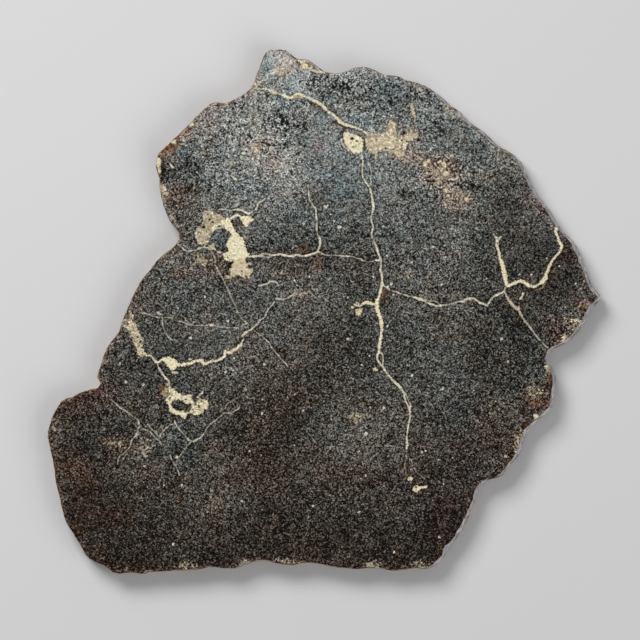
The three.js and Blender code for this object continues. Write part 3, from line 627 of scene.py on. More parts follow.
# Warm brown stone, and cool grey-blue below 0, which in the upper part is partly the stone's tint and partly
# a painted bluish reflection
WARMTH_ZONES = [
    (95, 400, 45, 22, 1.4), (75, 466, 22, 18, 1.5), (105, 525, 50, 40, 1.1), (280, 450, 60, 80, 1.4),
    (330, 515, 50, 55, 0.9), (435, 520, 40, 30, 0.5), (510, 415, 35, 28, 0.9), (210, 346, 20, 14, -0.5),
    (182, 445, 20, 32, -0.3), (320, 140, 60, 60, -1.0), (345, 190, 60, 45, -1.0), (450, 160, 60, 50, -0.6),
    (530, 260, 60, 60, 0.1), (280, 90, 35, 35, -0.6), (205, 165, 40, 30, -0.6), (225, 120, 50, 25, -0.2),
    (262, 150, 24, 32, 0.6), (178, 195, 18, 16, 0.9), (160, 330, 50, 50, 0.0), (440, 360, 70, 60, 0.0),
    (318, 105, 60, 12, -0.6), (300, 85, 20, 10, -0.9), (335, 425, 50, 20, 0.4), (563, 330, 22, 18, 1.2),
    (75, 470, 16, 11, 2.6), (112, 515, 22, 14, 2.4), (118, 444, 22, 9, 1.9), (300, 270, 40, 16, 0.7),
    (441, 172, 22, 17, 1.7), (455, 196, 20, 14, 1.2), (408, 156, 16, 10, 1.9), (410, 136, 14, 12, 1.5),
    (538, 395, 18, 14, 1.5), (518, 440, 14, 18, 1.3), (268, 66, 10, 16, -1.9), (221, 241, 8, 9, -1.4),
    (182, 272, 14, 9, 2.4), (302, 186, 24, 17, -0.3), (482, 180, 20, 13, 0.4), (222, 259, 9, 7, 1.3),
    (323, 254, 13, 8, 1.0), (312, 202, 20, 13, 0.2), (248, 347, 17, 33, 0.6), (367, 353, 11, 14, 0.6),
    (348, 398, 14, 10, 0.9), (83, 500, 13, 24, 2.0), (517, 302, 13, 12, 0.7), (566, 254, 8, 12, 1.2),
    (481, 461, 26, 19, 0.2), (302, 98, 38, 9, -1.3), (123, 395, 17, 11, 0.4), (286, 67, 12, 9, 0.9),
    (287, 82, 8, 8, -1.5), (300, 88, 12, 7, -0.8), (165, 155, 12, 12, 1.6), (185, 135, 14, 8, 1.4),
    (583, 305, 12, 7, 1.4), (205, 268, 26, 14, 0.8), (232, 271, 10, 8, 1.3),
]
# Dark red stone
RED_ZONES = [
    (320, 146, 7, 4.5, 1.5), (178, 194, 13, 11, 0.25), (92, 398, 20, 13, 0.9), (442, 176, 20, 16, 0.5),
    (435, 520, 22, 26, 0.5), (480, 455, 30, 30, 0.35), (556, 335, 10, 12, 0.9), (300, 250, 12, 4, 0.6),
    (345, 128, 14, 4, 0.7), (565, 258, 9, 8, 0.6), (553, 280, 8, 22, 0.5), (535, 405, 14, 8, 0.6),
    (584, 305, 10, 5, 0.9), (541, 208, 7, 9, 1.0), (526, 190, 8, 16, 0.5), (219, 227, 6, 3, 1.0),
    (160, 393, 5, 4, 0.8), (240, 281, 16, 4, 0.7), (262, 268, 14, 8, 0.5), (237, 224, 6, 5, 1.1),
    (159.5, 394, 3.5, 4, 1.4),
]
# Tan and cream grains between the grey ones
TAN_ZONES = [
    (384, 141, 20, 12, 0.7), (391, 125, 7, 9, 0.5), (412, 135, 9, 7, 0.5), (398, 153, 12, 6, 0.5),
    (436, 168, 20, 14, 0.42), (448, 176, 14, 8, 0.4), (447, 192, 12, 10, 0.34), (464, 198, 9, 8, 0.4),
    (262, 148, 22, 30, 0.24), (256, 146, 7, 10, 0.5), (285, 165, 18, 14, 0.28), (286, 66, 18, 9, 0.5),
    (281, 74, 9, 4, 0.5), (217, 503, 8, 8, 0.5), (211, 491, 4, 8, 0.36), (355, 417, 7, 5, 0.5),
    (408, 276, 9, 8, 0.35), (431, 278, 5, 8, 0.35), (461, 251, 8, 12, 0.4), (190, 330, 6, 6, 0.4),
    (186, 565, 12, 5, 0.55), (245, 562, 7, 5, 0.55), (286, 562, 13, 5, 0.55), (373, 564, 9, 5, 0.55),
    (420, 564, 10, 5, 0.55), (584, 304, 10, 4, 0.55), (570, 325, 13, 7, 0.42), (565, 338, 7, 5, 0.6),
    (549, 370, 6, 7, 0.6), (536, 394, 12, 7, 0.36), (518, 440, 5, 13, 0.5), (115, 443, 15, 6, 0.44),
    (145, 446, 10, 13, 0.4), (219, 254, 5, 4, 0.45), (228, 349, 5, 2.5, 0.6), (244, 389, 3, 3, 0.6),
    (202, 407, 8, 9, 0.45), (166, 391, 4, 6, 0.5), (300, 293, 9, 4, 0.45), (252.5, 85, 2, 8, 0.95),
    (172, 222, 4, 9, 0.6), (163.5, 194, 4.5, 11, 0.6), (310, 63, 11, 4, 0.85), (500, 400, 30, 24, 0.2),
    (60, 430, 10, 30, 0.22), (345, 425, 46, 24, 0.2), (300, 270, 36, 12, 0.16), (225, 118, 34, 24, 0.14),
    (230, 175, 18, 12, 0.18), (248, 118, 12, 14, 0.2), (182, 262, 22, 14, 0.3), (168, 288, 10, 8, 0.26),
    (240, 279, 16, 4, 0.45), (205, 261, 10, 6, 0.34), (140, 465, 40, 20, 0.14), (470, 210, 30, 30, 0.12),
    (183, 135, 8, 4, 0.45), (198, 124, 8, 5, 0.35), (430, 88, 22, 5, 0.3), (453, 110, 11, 6, 0.75),
    (508, 176, 12, 12, 0.2), (500, 160, 10, 8, 0.3),
]
# Rust
RUST_ZONES = [
    (166, 149.5, 8, 4, 0.9), (172, 147, 5, 3.6, 0.75), (177, 142, 5, 4, 0.6), (181, 136, 5, 3, 0.55),
    (188, 130, 5, 3, 0.5), (304, 250.5, 7, 3, 0.95), (318, 264, 7, 6, 0.5), (317, 106.5, 8, 2.4, 0.7),
    (330, 107.5, 2.5, 2, 0.9), (298, 98, 6, 2, 0.8), (384, 295, 5, 7, 0.5), (470, 303, 6, 2.5, 0.6),
    (538, 288, 6, 2.5, 0.9), (549, 270, 2.5, 9, 0.6), (585, 310.5, 6, 4, 0.7), (540, 403, 13, 6, 0.45),
    (549, 380, 3, 9, 0.55), (339, 124, 6, 2.5, 0.7), (163, 391, 4, 5, 0.95), (179, 497, 7, 6, 0.5),
    (528, 424, 6, 4, 0.5), (311, 66, 8, 3, 0.5), (276, 91, 5, 2, 0.5), (242, 279.5, 12, 2.6, 0.3),
    (173, 196, 8, 7, 0.35), (220, 256.5, 3, 2.6, 0.25), (165, 391, 3.4, 5, 0.7),
]
# Coarser grain, and finer below 0
COARSE_ZONES = [
    (278, 66, 28, 20, -0.9), (300, 88, 16, 9, -0.7), (270, 145, 60, 55, 0.6), (400, 110, 80, 46, 0.15),
    (456, 135, 20, 14, -0.6), (215, 135, 50, 46, 0.3), (570, 325, 25, 25, 0.5), (530, 400, 30, 30, 0.4),
    (445, 180, 34, 28, 1.1), (345, 88, 36, 18, 0.6), (320, 140, 26, 24, -0.5), (345, 190, 40, 40, -0.4),
    (560, 265, 30, 40, -0.7), (520, 250, 30, 60, -0.45), (90, 500, 50, 70, -0.3), (205, 345, 34, 16, -0.65),
    (300, 545, 200, 26, -0.15),
]
# Black grains scattered between the others
PEPPER_ZONES = [
    (172, 172, 14, 12, 0.4), (192, 166, 12, 9, 0.45), (342, 86, 13, 8, 0.75), (313, 84, 10, 8, 0.55),
    (277, 123, 18, 13, 0.6), (300, 127, 9, 6, 0.5), (203, 186, 26, 10, 0.4), (236, 128, 44, 30, 0.25),
    (400, 100, 60, 28, 0.3), (284, 142, 24, 16, 0.3), (435, 128, 16, 12, 0.35), (440, 172, 26, 20, 0.46),
    (470, 186, 14, 8, 0.5), (406, 192, 10, 6, 0.5), (178, 195, 16, 12, 0.36), (165, 172, 6, 14, 0.5),
    (232, 266, 8, 6, 0.55), (560, 330, 14, 12, 0.3), (335, 90, 8, 8, 0.4), (266, 98, 8, 6, 0.25),
]
# Pale mineral broken up like lace by the stone's grains
LACE_ZONES = [
    (203, 230, 14, 22, 0.5), (212, 215, 12, 6, 0.45), (200, 257, 9, 7, 0.7), (240, 278, 18, 6, 0.6),
    (130, 320, 12, 16, 1.0), (138, 345, 10, 18, 0.55), (390, 138, 34, 18, 0.8), (201, 405, 12, 12, 0.4),
    (180, 390, 20, 12, 0.15), (166, 391, 8, 10, 0.8), (230, 257, 9, 4, 0.5), (572, 320, 20, 20, 0.9),
    (540, 394, 20, 14, 0.9), (518, 445, 12, 24, 0.8), (308, 64, 16, 6, 0.35), (162, 194, 10, 18, 0.5),
    (256, 148, 12, 12, 0.9), (446, 182, 30, 28, 0.35), (300, 148, 10, 6, 0.7),
]

rng = np.random.default_rng(20)


def smooth(value, low, high):
    """0 below low, 1 above high, and a smooth rise between them."""
    share = np.clip((value - low) / (high - low), 0.0, 1.0)
    return share * share * (3.0 - 2.0 * share)


def soft_noise(x, y, cell):
    """Seeded smooth noise from -1 to 1 with features about one cell wide, at pixel positions."""
    columns = int(NOISE_SPAN_PX / cell) + 4
    table = rng.uniform(-1.0, 1.0, (columns, columns))
    across = np.clip(x / cell, 0, columns - 2.001)
    down = np.clip(y / cell, 0, columns - 2.001)
    column = across.astype(int)
    row = down.astype(int)
    u = smooth(across - column, 0.0, 1.0)
    v = smooth(down - row, 0.0, 1.0)
    upper = table[row, column] * (1 - u) + table[row, column + 1] * u
    lower = table[row + 1, column] * (1 - u) + table[row + 1, column + 1] * u
    return upper * (1 - v) + lower * v


def to_world(x, y):
    """Metres from a pixel position."""
    return MIDDLE_X + (x - MIDDLE_X_PX) * METRES_PER_PX, MIDDLE_Y - (y - MIDDLE_Y_PX) * METRES_PER_PX


def to_pixels(x, y):
    """A pixel position from metres."""
    return MIDDLE_X_PX + (x - MIDDLE_X) / METRES_PER_PX, MIDDLE_Y_PX - (y - MIDDLE_Y) / METRES_PER_PX


# Fields over the cut face: each has a value at every point of the fine grid
grid_x, grid_y = np.meshgrid(
    GRID_LEFT + FINE_PX * np.arange(GRID_COLUMNS), GRID_TOP + FINE_PX * np.arange(GRID_ROWS))


def empty_field(value):
    """A field with one value everywhere."""
    return np.full(grid_x.shape, float(value))


def window(low_x, low_y, high_x, high_y):
    """The slices of the grid that hold a box of pixels."""
    left = max(int((low_x - GRID_LEFT) / FINE_PX), 0)
    right = min(int((high_x - GRID_LEFT) / FINE_PX) + 2, GRID_COLUMNS)
    top = max(int((low_y - GRID_TOP) / FINE_PX), 0)
    bottom = min(int((high_y - GRID_TOP) / FINE_PX) + 2, GRID_ROWS)
    return slice(top, bottom), slice(left, right)


def with_widths(points):
    """Points with a width each: one without a width keeps the width before it."""
    filled = []
    width = 1.0
    for point in points:
        if len(point) == 3:
            width = point[2]
        filled.append((point[0], point[1], width))
    return filled


def rounded(points):
    """The same points with two more on a smooth curve between each pair."""
    values = [np.array(point, float) for point in points]
    values = [2 * values[0] - values[1]] + values + [2 * values[-1] - values[-2]]
    curve = []
    for before, start, end, after in zip(values, values[1:], values[2:], values[3:]):
        for t in (0.0, 1 / 3, 2 / 3):
            curve.append(0.5 * (2 * start + (end - before) * t
                                + (2 * before - 5 * start + 4 * end - after) * t * t
                                + (3 * start - before - 3 * end + after) * t ** 3))
    curve.append(values[-2])
    return curve


def along(start, end, reach):
    """Where on the grid a piece of line can matter, its distance there and the share along it."""
    box = window(min(start[0], end[0]) - reach, min(start[1], end[1]) - reach,
                 max(start[0], end[0]) + reach, max(start[1], end[1]) + reach)
    step = np.array([end[0] - start[0], end[1] - start[1]])
    length = max(step @ step, 1e-9)
    away_x = grid_x[box] - start[0]
    away_y = grid_y[box] - start[1]
    share = np.clip((away_x * step[0] + away_y * step[1]) / length, 0.0, 1.0)
    distance = np.hypot(away_x - share * step[0], away_y - share * step[1])
    return box, distance, share


def polygon_inside(outline, reach):
    """The part of the grid round a closed outline, and how deep inside it each point lies."""
    xs = [point[0] for point in outline]
    ys = [point[1] for point in outline]
    box = window(min(xs) - reach, min(ys) - reach, max(xs) + reach, max(ys) + reach)
    here_x = grid_x[box]
    here_y = grid_y[box]
    nearest = np.full(here_x.shape, 99.0)
    crossings = np.zeros(here_x.shape, int)
    for start, end in zip(outline, outline[1:] + outline[:1]):
        step_x = end[0] - start[0]
        step_y = end[1] - start[1]
        length = max(step_x * step_x + step_y * step_y, 1e-9)
        share = np.clip(((here_x - start[0]) * step_x + (here_y - start[1]) * step_y) / length, 0.0, 1.0)
        distance = np.hypot(here_x - start[0] - share * step_x, here_y - start[1] - share * step_y)
        nearest = np.minimum(nearest, distance)
        if step_y != 0:
            spans = (here_y >= min(start[1], end[1])) & (here_y < max(start[1], end[1]))
            crosses = here_x < start[0] + (here_y - start[1]) * step_x / step_y
            crossings += spans & crosses
    inside = crossings % 2 == 1
    return box, np.where(inside, nearest, -nearest)


pale = empty_field(FAR)
pale_tone = empty_field(0.2)
pale_strength = empty_field(0.0)
pale_rough = empty_field(0.5)


def lay_pale(box, inside, tone, strength, rough):
    """Adds pale mineral where it lies deeper than what is there. Rough is how ragged its margin is."""
    wins = inside > pale[box]
    pale_rough[box] = np.where(wins, rough, pale_rough[box])
    pale[box] = np.where(wins, inside, pale[box])
    pale_tone[box] = np.where(wins, tone, pale_tone[box])
    pale_strength[box] = np.where(wins, strength, pale_strength[box])


def vein_rough(width):
    """How ragged a vein's margin is: a thread is smoother than a broad vein."""
    return min(max(0.28 * width - 0.12, 0.2), 0.8)


def lay_vein(name, lift=0):
    """Lays one vein. A lift keeps it in sight over a patch that it crosses."""
    tone, strength, points = VEINS[name]
    curve = rounded(with_widths(points))
    for start, end in zip(curve, curve[1:]):
        box, distance, share = along(start, end, VEIN_REACH)
        inside = (start[2] + (end[2] - start[2]) * share) / 2 - distance
        inside = np.where(inside > 0, inside + lift, inside)
        lay_pale(box, inside, tone, strength, vein_rough(start[2]))


def lay_patch(tone, strength, outline, hole):
    """Lays one patch, without the stone inside it."""
    box, inside = polygon_inside(outline, VEIN_REACH)
    if hole:
        hole_box, hole_inside = polygon_inside(hole, HOLE_REACH)
        whole = empty_field(-HOLE_REACH)
        whole[hole_box] = hole_inside
        inside = np.minimum(inside, -whole[box])
    lay_pale(box, inside, tone, strength, PATCH_ROUGH)


for name in VEINS:
    lay_vein(name)
for patch in PATCHES.values():
    lay_patch(*patch)
for name in OVER_PATCHES:
    lay_vein(name, OVER_PATCHES_LIFT)


def dots(field, spots):
    """Adds round or oval spots to a field of depths."""
    for spot in spots:
        x, y, width = spot[:3]
        height = spot[3] if len(spot) > 3 else width
        radius = min(width, height) / 2
        reach_x = width / 2 + DOT_REACH
        reach_y = height / 2 + DOT_REACH
        box = window(x - reach_x, y - reach_y, x + reach_x, y + reach_y)
        size = np.hypot((grid_x[box] - x) / (width / 2), (grid_y[box] - y) / (height / 2))
        field[box] = np.maximum(field[box], (1 - size) * radius)


pale_dots = empty_field(FAR)
dots(pale_dots, PALE_DOTS)
lay_pale((slice(None), slice(None)), pale_dots, 0.3, 0.9, DOT_ROUGH)
white = empty_field(FAR)
dots(white, [(x, y, WHITE_SIZE_SHARE * size) for x, y, size in WHITE_GRAINS])
black = empty_field(FAR)
dots(black, BLACK_GRAINS)
pit_depth = empty_field(0.0)
for x, y, width, height, depth in PITS:
    pit = empty_field(FAR)
    dots(pit, [(x, y, width, height)])
    black = np.maximum(black, pit)
    pit_depth = np.maximum(pit_depth, depth * MM * smooth(pit, -0.5, 0.7))
pit_depth = np.maximum(pit_depth, GRAIN_HOLE * smooth(black, -0.3, 1.0))
dark = empty_field(0.0)
for width, strength, points in DARK_LINES:
    curve = rounded([(x, y, width) for x, y in points])
    for start, end in zip(curve, curve[1:]):
        box, distance, _ = along(start, end, LINE_REACH)
        dark[box] = np.maximum(dark[box], strength * smooth(width / 2 - distance, -1.0, 0.6))


def zones(field, spots, mix_in=False):
    """Adds soft oval zones to a field, or draws it towards their value."""
    for x, y, half_width, half_height, amount in spots:
        size = np.hypot((grid_x - x) / half_width, (grid_y - y) / half_height)
        share = 1 - smooth(size, 0.35, 1.45)
        if mix_in:
            field += share * (amount - field)
        else:
            field += share * amount
    return field


# Painted light: the face is brighter at the top and darker towards the bottom, partly by the stone's own tone
down_profile = np.array(BRIGHTNESS_AND_LIGHT_DOWN, float)
level = np.interp(grid_y, down_profile[:, 0], down_profile[:, 1])
level = zones(level, BRIGHTNESS_ZONES)
level += 5 * soft_noise(grid_x, grid_y, 19) + 7 * soft_noise(grid_x, grid_y, 7)
# The upper part is cooler: partly the stone's own tint and partly a painted bluish reflection
cool_and_sheen_above = smooth(290 - grid_y, 0, 130)
warm_below = smooth(grid_y, 370, 480)
warmth = zones(-0.8 * cool_and_sheen_above + 0.8 * warm_below, WARMTH_ZONES, mix_in=True)
warmth += 0.55 * soft_noise(grid_x, grid_y, 30) + 0.5 * soft_noise(grid_x, grid_y, 11)
red = zones(empty_field(0.0), RED_ZONES)
tan = zones(empty_field(0.0), TAN_ZONES)
tan += 0.1 * soft_noise(grid_x, grid_y, 13)
rust = zones(empty_field(0.0), RUST_ZONES)
coarse = zones(empty_field(0.0), COARSE_ZONES, mix_in=True)
lace = zones(empty_field(0.0), LACE_ZONES, mix_in=True)
pepper = zones(empty_field(0.0), PEPPER_ZONES, mix_in=True)

face_fields = {
    "pale": pale, "pale_tone": pale_tone, "pale_strength": pale_strength, "white": white, "black": black,
    "dark": dark, "level": level, "warmth": warmth, "red": red, "tan": tan, "rust": rust, "coarse": coarse,
    "lace": lace, "pepper": pepper, "pale_rough": pale_rough, "pit_depth": pit_depth,
}


def sample(field, x, y):
    """A field's value at any pixel positions."""
    across = np.clip((np.asarray(x, float) - GRID_LEFT) / FINE_PX, 0, GRID_COLUMNS - 1.001)
    down = np.clip((np.asarray(y, float) - GRID_TOP) / FINE_PX, 0, GRID_ROWS - 1.001)
    column = across.astype(int)
    row = down.astype(int)
    u = across - column
    v = down - row
    upper = field[row, column] * (1 - u) + field[row, column + 1] * u
    lower = field[row + 1, column] * (1 - u) + field[row + 1, column + 1] * u
    return upper * (1 - v) + lower * v


# The back face shows the same veins, shifted by their way through the stone
shift_x = 7.0 + 5.0 * soft_noise(grid_x, grid_y, 70)
shift_y = -5.0 + 5.0 * soft_noise(grid_x, grid_y, 70)
back_fields = {name: sample(field, grid_x + shift_x, grid_y + shift_y) for name, field in face_fields.items()}
back_fields["white"] = empty_field(FAR)
back_fields["black"] = empty_field(FAR)
back_fields["pit_depth"] = empty_field(0.0)


# The edge of the slice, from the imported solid, without its flat cut faces
edge = bmesh.new()
edge.from_mesh(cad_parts["slice"].data)
bmesh.ops.remove_doubles(edge, verts=edge.verts, dist=SAME_POINT)
flat_faces = []
for face in edge.faces:
    heights = [vert.co.z for vert in face.verts]
    if max(heights) < cad_low.z + SAME_HEIGHT or min(heights) > cad_high.z - SAME_HEIGHT:
        flat_faces.append(face)
bmesh.ops.delete(edge, geom=flat_faces, context="FACES")
turn_x = edge.verts.layers.float.new("turn_x")
turn_y = edge.verts.layers.float.new("turn_y")


def rim_loop(height):
    """The edge's open rim at a height, as vertices in order."""
    links = {}
    for line in edge.edges:
        first, second = line.verts
        at_height = max(abs(first.co.z - height), abs(second.co.z - height)) < SAME_HEIGHT
        if at_height and len(line.link_faces) == 1:
            links.setdefault(first.index, []).append(second.index)
            links.setdefault(second.index, []).append(first.index)
    start = max(links, key=lambda index: edge.verts[index].co.y)
    loop = [start]
    before = None
    here = start
    while True:
        ahead = [index for index in links[here] if index != before]
        before, here = here, ahead[0]
        if here == start:
            return loop
        loop.append(here)


def number_turns():
    """Keeps in each vertex how far round the slice it is, ring by ring from the cut face down."""
    edge.verts.index_update()
    edge.verts.ensure_lookup_table()
    ring = rim_loop(cad_high.z)
    turns = {index: order / len(ring) for order, index in enumerate(ring)}
    while ring:
        under = {}
        for index in ring:
            for line in edge.verts[index].link_edges:
                other = line.other_vert(edge.verts[index]).index
                if other not in turns:
                    under.setdefault(other, []).append(turns[index])
        for index, shares in under.items():
            steps = [(share - shares[0] + 0.5) % 1.0 - 0.5 for share in shares]
            turns[index] = shares[0] + sum(steps) / len(steps)
        ring = list(under)
    for vert in edge.verts:
        vert[turn_x] = math.cos(math.tau * turns[vert.index])
        vert[turn_y] = math.sin(math.tau * turns[vert.index])


number_turns()
bmesh.ops.subdivide_edges(edge, edges=edge.edges[:], cuts=2, use_grid_fill=True)
bmesh.ops.triangulate(edge, faces=edge.faces[:])
edge.normal_update()


def roughness_at(place):
    """How far the weathered edge is worn back at a place, from 0 to 1."""
    broad = noise.fractal(place * 420.0, 1.0, 2.0, 3)
    fine = noise.fractal(place * 1500.0, 1.0, 2.0, 3)
    return min(max(0.45 + 0.35 * broad + 0.3 * fine, 0.0), 1.0)


edge_moves = []
for vert in edge.verts:
    height = (vert.co.z - cad_low.z) / THICKNESS
    outward = Vector((vert.normal.x, vert.normal.y, 0.0)).normalized()
    depth = WORN_BACK * roughness_at(vert.co)
    # Chips are broken out of the top fifth of the edge
    chip = max(0.0, noise.noise(vert.co * 700.0) - 0.15)
    depth += CHIP_DEPTH * chip * max(0.0, (height - 0.8) / 0.2)
    pit = noise.voronoi(vert.co * 900.0)[0][0]
    depth += EDGE_PIT_DEPTH * max(0.0, EDGE_PIT_REACH - pit) / EDGE_PIT_REACH
    # The rims stay at their heights, so that the flat faces meet them
    rise_by = 0.0
    if 1e-4 < height < 1 - 1e-4:
        rise_by = LEDGE_WANDER * noise.noise(vert.co * 1100.0)
    edge_moves.append((vert, outward * -depth + Vector((0.0, 0.0, rise_by))))
for vert, move in edge_moves:
    vert.co += move
edge.normal_update()
edge.verts.index_update()
edge.verts.ensure_lookup_table()
points = [vert.co.copy() for vert in edge.verts]
edge_turn = np.array([math.atan2(vert[turn_y], vert[turn_x]) / math.tau for vert in edge.verts]) % 1.0
triangles = [tuple(vert.index for vert in face.verts) for face in edge.faces]
edge_count = len(points)
edge_triangle_count = len(triangles)
face_rim = rim_loop(cad_high.z)
back_rim = rim_loop(cad_low.z)


def inside_outline(outline, reach=RIM_REACH):
    """Which grid points lie inside an outline, and how far away it is where that is within reach."""
    near = empty_field(9.0)
    crossings = np.zeros(grid_x.shape, int)
    for start, end in zip(outline, np.roll(outline, -1, axis=0)):
        box, distance, share = along(start, end, reach)
        near[box] = np.minimum(near[box], distance)
        low_y, high_y = sorted((start[1], end[1]))
        first = max(int(math.ceil((low_y - GRID_TOP) / FINE_PX)), 0)
        last = min(int(math.ceil((high_y - GRID_TOP) / FINE_PX)), GRID_ROWS)
        for row in range(first, last):
            y = GRID_TOP + FINE_PX * row
            x = start[0] + (y - start[1]) * (end[0] - start[0]) / (end[1] - start[1])
            column = min(max(int(math.ceil((x - GRID_LEFT) / FINE_PX)), 0), GRID_COLUMNS)
            crossings[row, :column] += 1
    return crossings % 2 == 1, near


def fill_face(rim, fields, height, steps, up):
    """Fills a rim with triangles whose points are close together at the features of the face."""
    fine_step, plain_step = steps
    rim_px = np.array([to_pixels(points[index].x, points[index].y) for index in rim])
    inside, near = inside_outline(rim_px)
    # Just inside a feature's margin counts as the margin itself, because the shader makes it ragged there
    features = np.stack([fields["pale"], fields["white"], fields["black"]])
    hem = np.where((features > 0) & (features < 1.3), 0.0, np.abs(features)).min(axis=0)
    rows, columns = np.indices(grid_x.shape)

    def every(step):
        return (rows % step == 0) & (columns % step == 0)

    wanted = every(plain_step)
    wanted |= every(2 * fine_step) & ((hem < 3.0) | (near < 4.0))
    wanted |= every(fine_step) & (hem < 1.0)
    wanted &= inside & (near > 0.9)
    flat = [Vector((float(x), float(y))) for x, y in rim_px]
    flat += [Vector((float(x), float(y))) for x, y in zip(grid_x[wanted], grid_y[wanted])]
    rim_edges = [(i, (i + 1) % len(rim)) for i in range(len(rim))]
    made = delaunay_2d_cdt(flat, rim_edges, [], 1, 1e-6)
    indices = []
    for place, originals in zip(made[0], made[3]):
        if originals and originals[0] < len(rim):
            indices.append(rim[originals[0]])
        else:
            x, y = to_world(place.x, place.y)
            points.append(Vector((x, y, height)))
            indices.append(len(points) - 1)
    for corners in made[2]:
        a, b, c = (indices[corner] for corner in corners)
        turn = (points[b] - points[a]).cross(points[c] - points[a]).z
        triangles.append((a, b, c) if (turn > 0) == up else (a, c, b))


fill_face(face_rim, face_fields, cad_high.z, FACE_STEPS, True)
face_end = len(points)
face_triangle_end = len(triangles)
fill_face(back_rim, back_fields, cad_low.z, BACK_STEPS, False)

# Every point's values: the cut face's, the back face's, or a blend of both down the edge
place = np.array([tuple(point) for point in points])
across_px, down_px = to_pixels(place[:, 0], place[:, 1])
outward = np.zeros((len(points), 2))
for vert in edge.verts:
    side = Vector((vert.normal.x, vert.normal.y)).normalized()
    outward[vert.index] = (side.x, side.y)
is_edge = np.arange(len(points)) < edge_count
read_x = np.where(is_edge, across_px - READ_INSIDE_PX * outward[:, 0], across_px)
read_y = np.where(is_edge, down_px + READ_INSIDE_PX * outward[:, 1], down_px)
height_share = (place[:, 2] - cad_low.z) / THICKNESS
from_face = np.where(is_edge, smooth(height_share, 0.25, 0.75), 0.0)
from_face[edge_count:face_end] = 1.0
values = {}
for name, field in face_fields.items():
    on_face = sample(field, read_x, read_y)
    on_back = sample(back_fields[name], read_x, read_y)
    values[name] = on_face * from_face + on_back * (1 - from_face)
for name in ("white", "black"):
    values[name] = np.where(is_edge, FAR, values[name])
values["edge"] = np.where(is_edge, 1.0, 0.0)
values["edge"][face_rim] = 0.0
values["edge"][back_rim] = 0.0

# Stone near the rim is warmer, redder and more tan, and less so towards the upper right
rim_points = np.array([to_pixels(points[index].x, points[index].y) for index in face_rim])
_, rim_distance = inside_outline(rim_points, WARM_RIM_REACH)
by_rim = 1.0 - smooth(sample(rim_distance, read_x, read_y), 0.5, 7.5)
by_rim *= 1.0 - 0.4 * smooth(read_x - read_y, 150, 300)
values["warmth"] += 1.1 * by_rim
values["red"] += 0.22 * by_rim
values["tan"] += 0.16 * by_rim

# Where the edge gets its painted pale reflection, by the way it faces, and the holes that are sunk into the
# cut face
sheen_facing = np.clip(outward @ np.array(SHEEN_DIRECTION), 0.0, 1.0)
values["sheen_facing"] = smooth(sheen_facing, 0.1, 0.7) * (0.35 + 0.65 * smooth(height_share, 0.2, 0.6))
place[edge_count:face_end, 2] -= values["pit_depth"][edge_count:face_end]
del values["pit_depth"]


def make_mesh():
    """The slice as one closed mesh with its values."""
    mesh = bpy.data.meshes.new("slice_looks")
    mesh.from_pydata([tuple(point) for point in place], [], triangles)
    for name, numbers in values.items():
        mesh.attributes.new(name, "FLOAT", "POINT").data.foreach_set("value", numbers.astype(np.float32))
    mesh.validate()
    mesh.shade_smooth()
    mesh.set_sharp_from_angle(angle=math.radians(SHARP_DEGREES))
    return mesh


def bake_map(mesh):
    """A map with the cut face large, the back face small under it and the edge in three strips."""
    corners = np.zeros(len(mesh.loops), np.int32)
    mesh.loops.foreach_get("vertex_index", corners)
    corners = corners.reshape(-1, 3)
    share_x = (across_px - LEFT_PX) / (RIGHT_PX - LEFT_PX)
    share_y = (BOTTOM_PX - down_px) / (RIGHT_PX - LEFT_PX)
    turn_share = np.zeros(len(points))
    turn_share[:edge_count] = edge_turn
    spots = np.zeros((len(corners), 3, 2))
    face_part = slice(edge_triangle_count, face_triangle_end)
    back_part = slice(face_triangle_end, None)
    edge_part = slice(0, edge_triangle_count)
    for part, (left, bottom, size) in ((face_part, FACE_ON_MAP), (back_part, BACK_ON_MAP)):
        spots[part] = np.stack([left + size * share_x, bottom + size * share_y], -1)[corners[part]]
    turns = turn_share[corners[edge_part]]
    turns = turns - np.round(turns - turns[:, :1])
    strip = np.clip(np.floor(turns.mean(1) * STRIP_COUNT), 0, STRIP_COUNT - 1)[:, None]
    up_share = np.clip(height_share[corners[edge_part]], 0, 1)
    spots[edge_part, :, 0] = STRIPS_LEFT + STRIP_STEP * strip + STRIP_WIDTH * up_share
    spots[edge_part, :, 1] = STRIP_BOTTOM + STRIP_LENGTH * (turns * STRIP_COUNT - strip)
    layer = mesh.uv_layers.new(name="OFBake")
    layer.data.foreach_set("uv", spots.astype(np.float32).ravel())


slice_mesh = make_mesh()
bake_map(slice_mesh)
slice_object = bpy.data.objects.new("slice_stone", slice_mesh)
bpy.context.scene.collection.objects.link(slice_object)
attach(slice_object, "root")
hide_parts("slice")


class Number:
    """A number in a shader, which adds and multiplies as plain numbers do."""

    def __init__(self, shader, socket):
        self.shader = shader
        self.socket = socket

    def __add__(self, other):
        return self.shader.math("ADD", self, other)

    def __radd__(self, other):
        return self.shader.math("ADD", other, self)

    def __sub__(self, other):
        return self.shader.math("SUBTRACT", self, other)

    def __rsub__(self, other):
        return self.shader.math("SUBTRACT", other, self)

    def __mul__(self, other):
        return self.shader.math("MULTIPLY", self, other)

    def __rmul__(self, other):
        return self.shader.math("MULTIPLY", other, self)

    def above(self, low, high):
        """0 below low, 1 above high, and a smooth rise between them."""
        node = self.shader.node("ShaderNodeMapRange", interpolation_type="SMOOTHSTEP")
        self.shader.feed(node.inputs["Value"], self)
        node.inputs["From Min"].default_value = low
        node.inputs["From Max"].default_value = high
        return Number(self.shader, node.outputs["Result"])


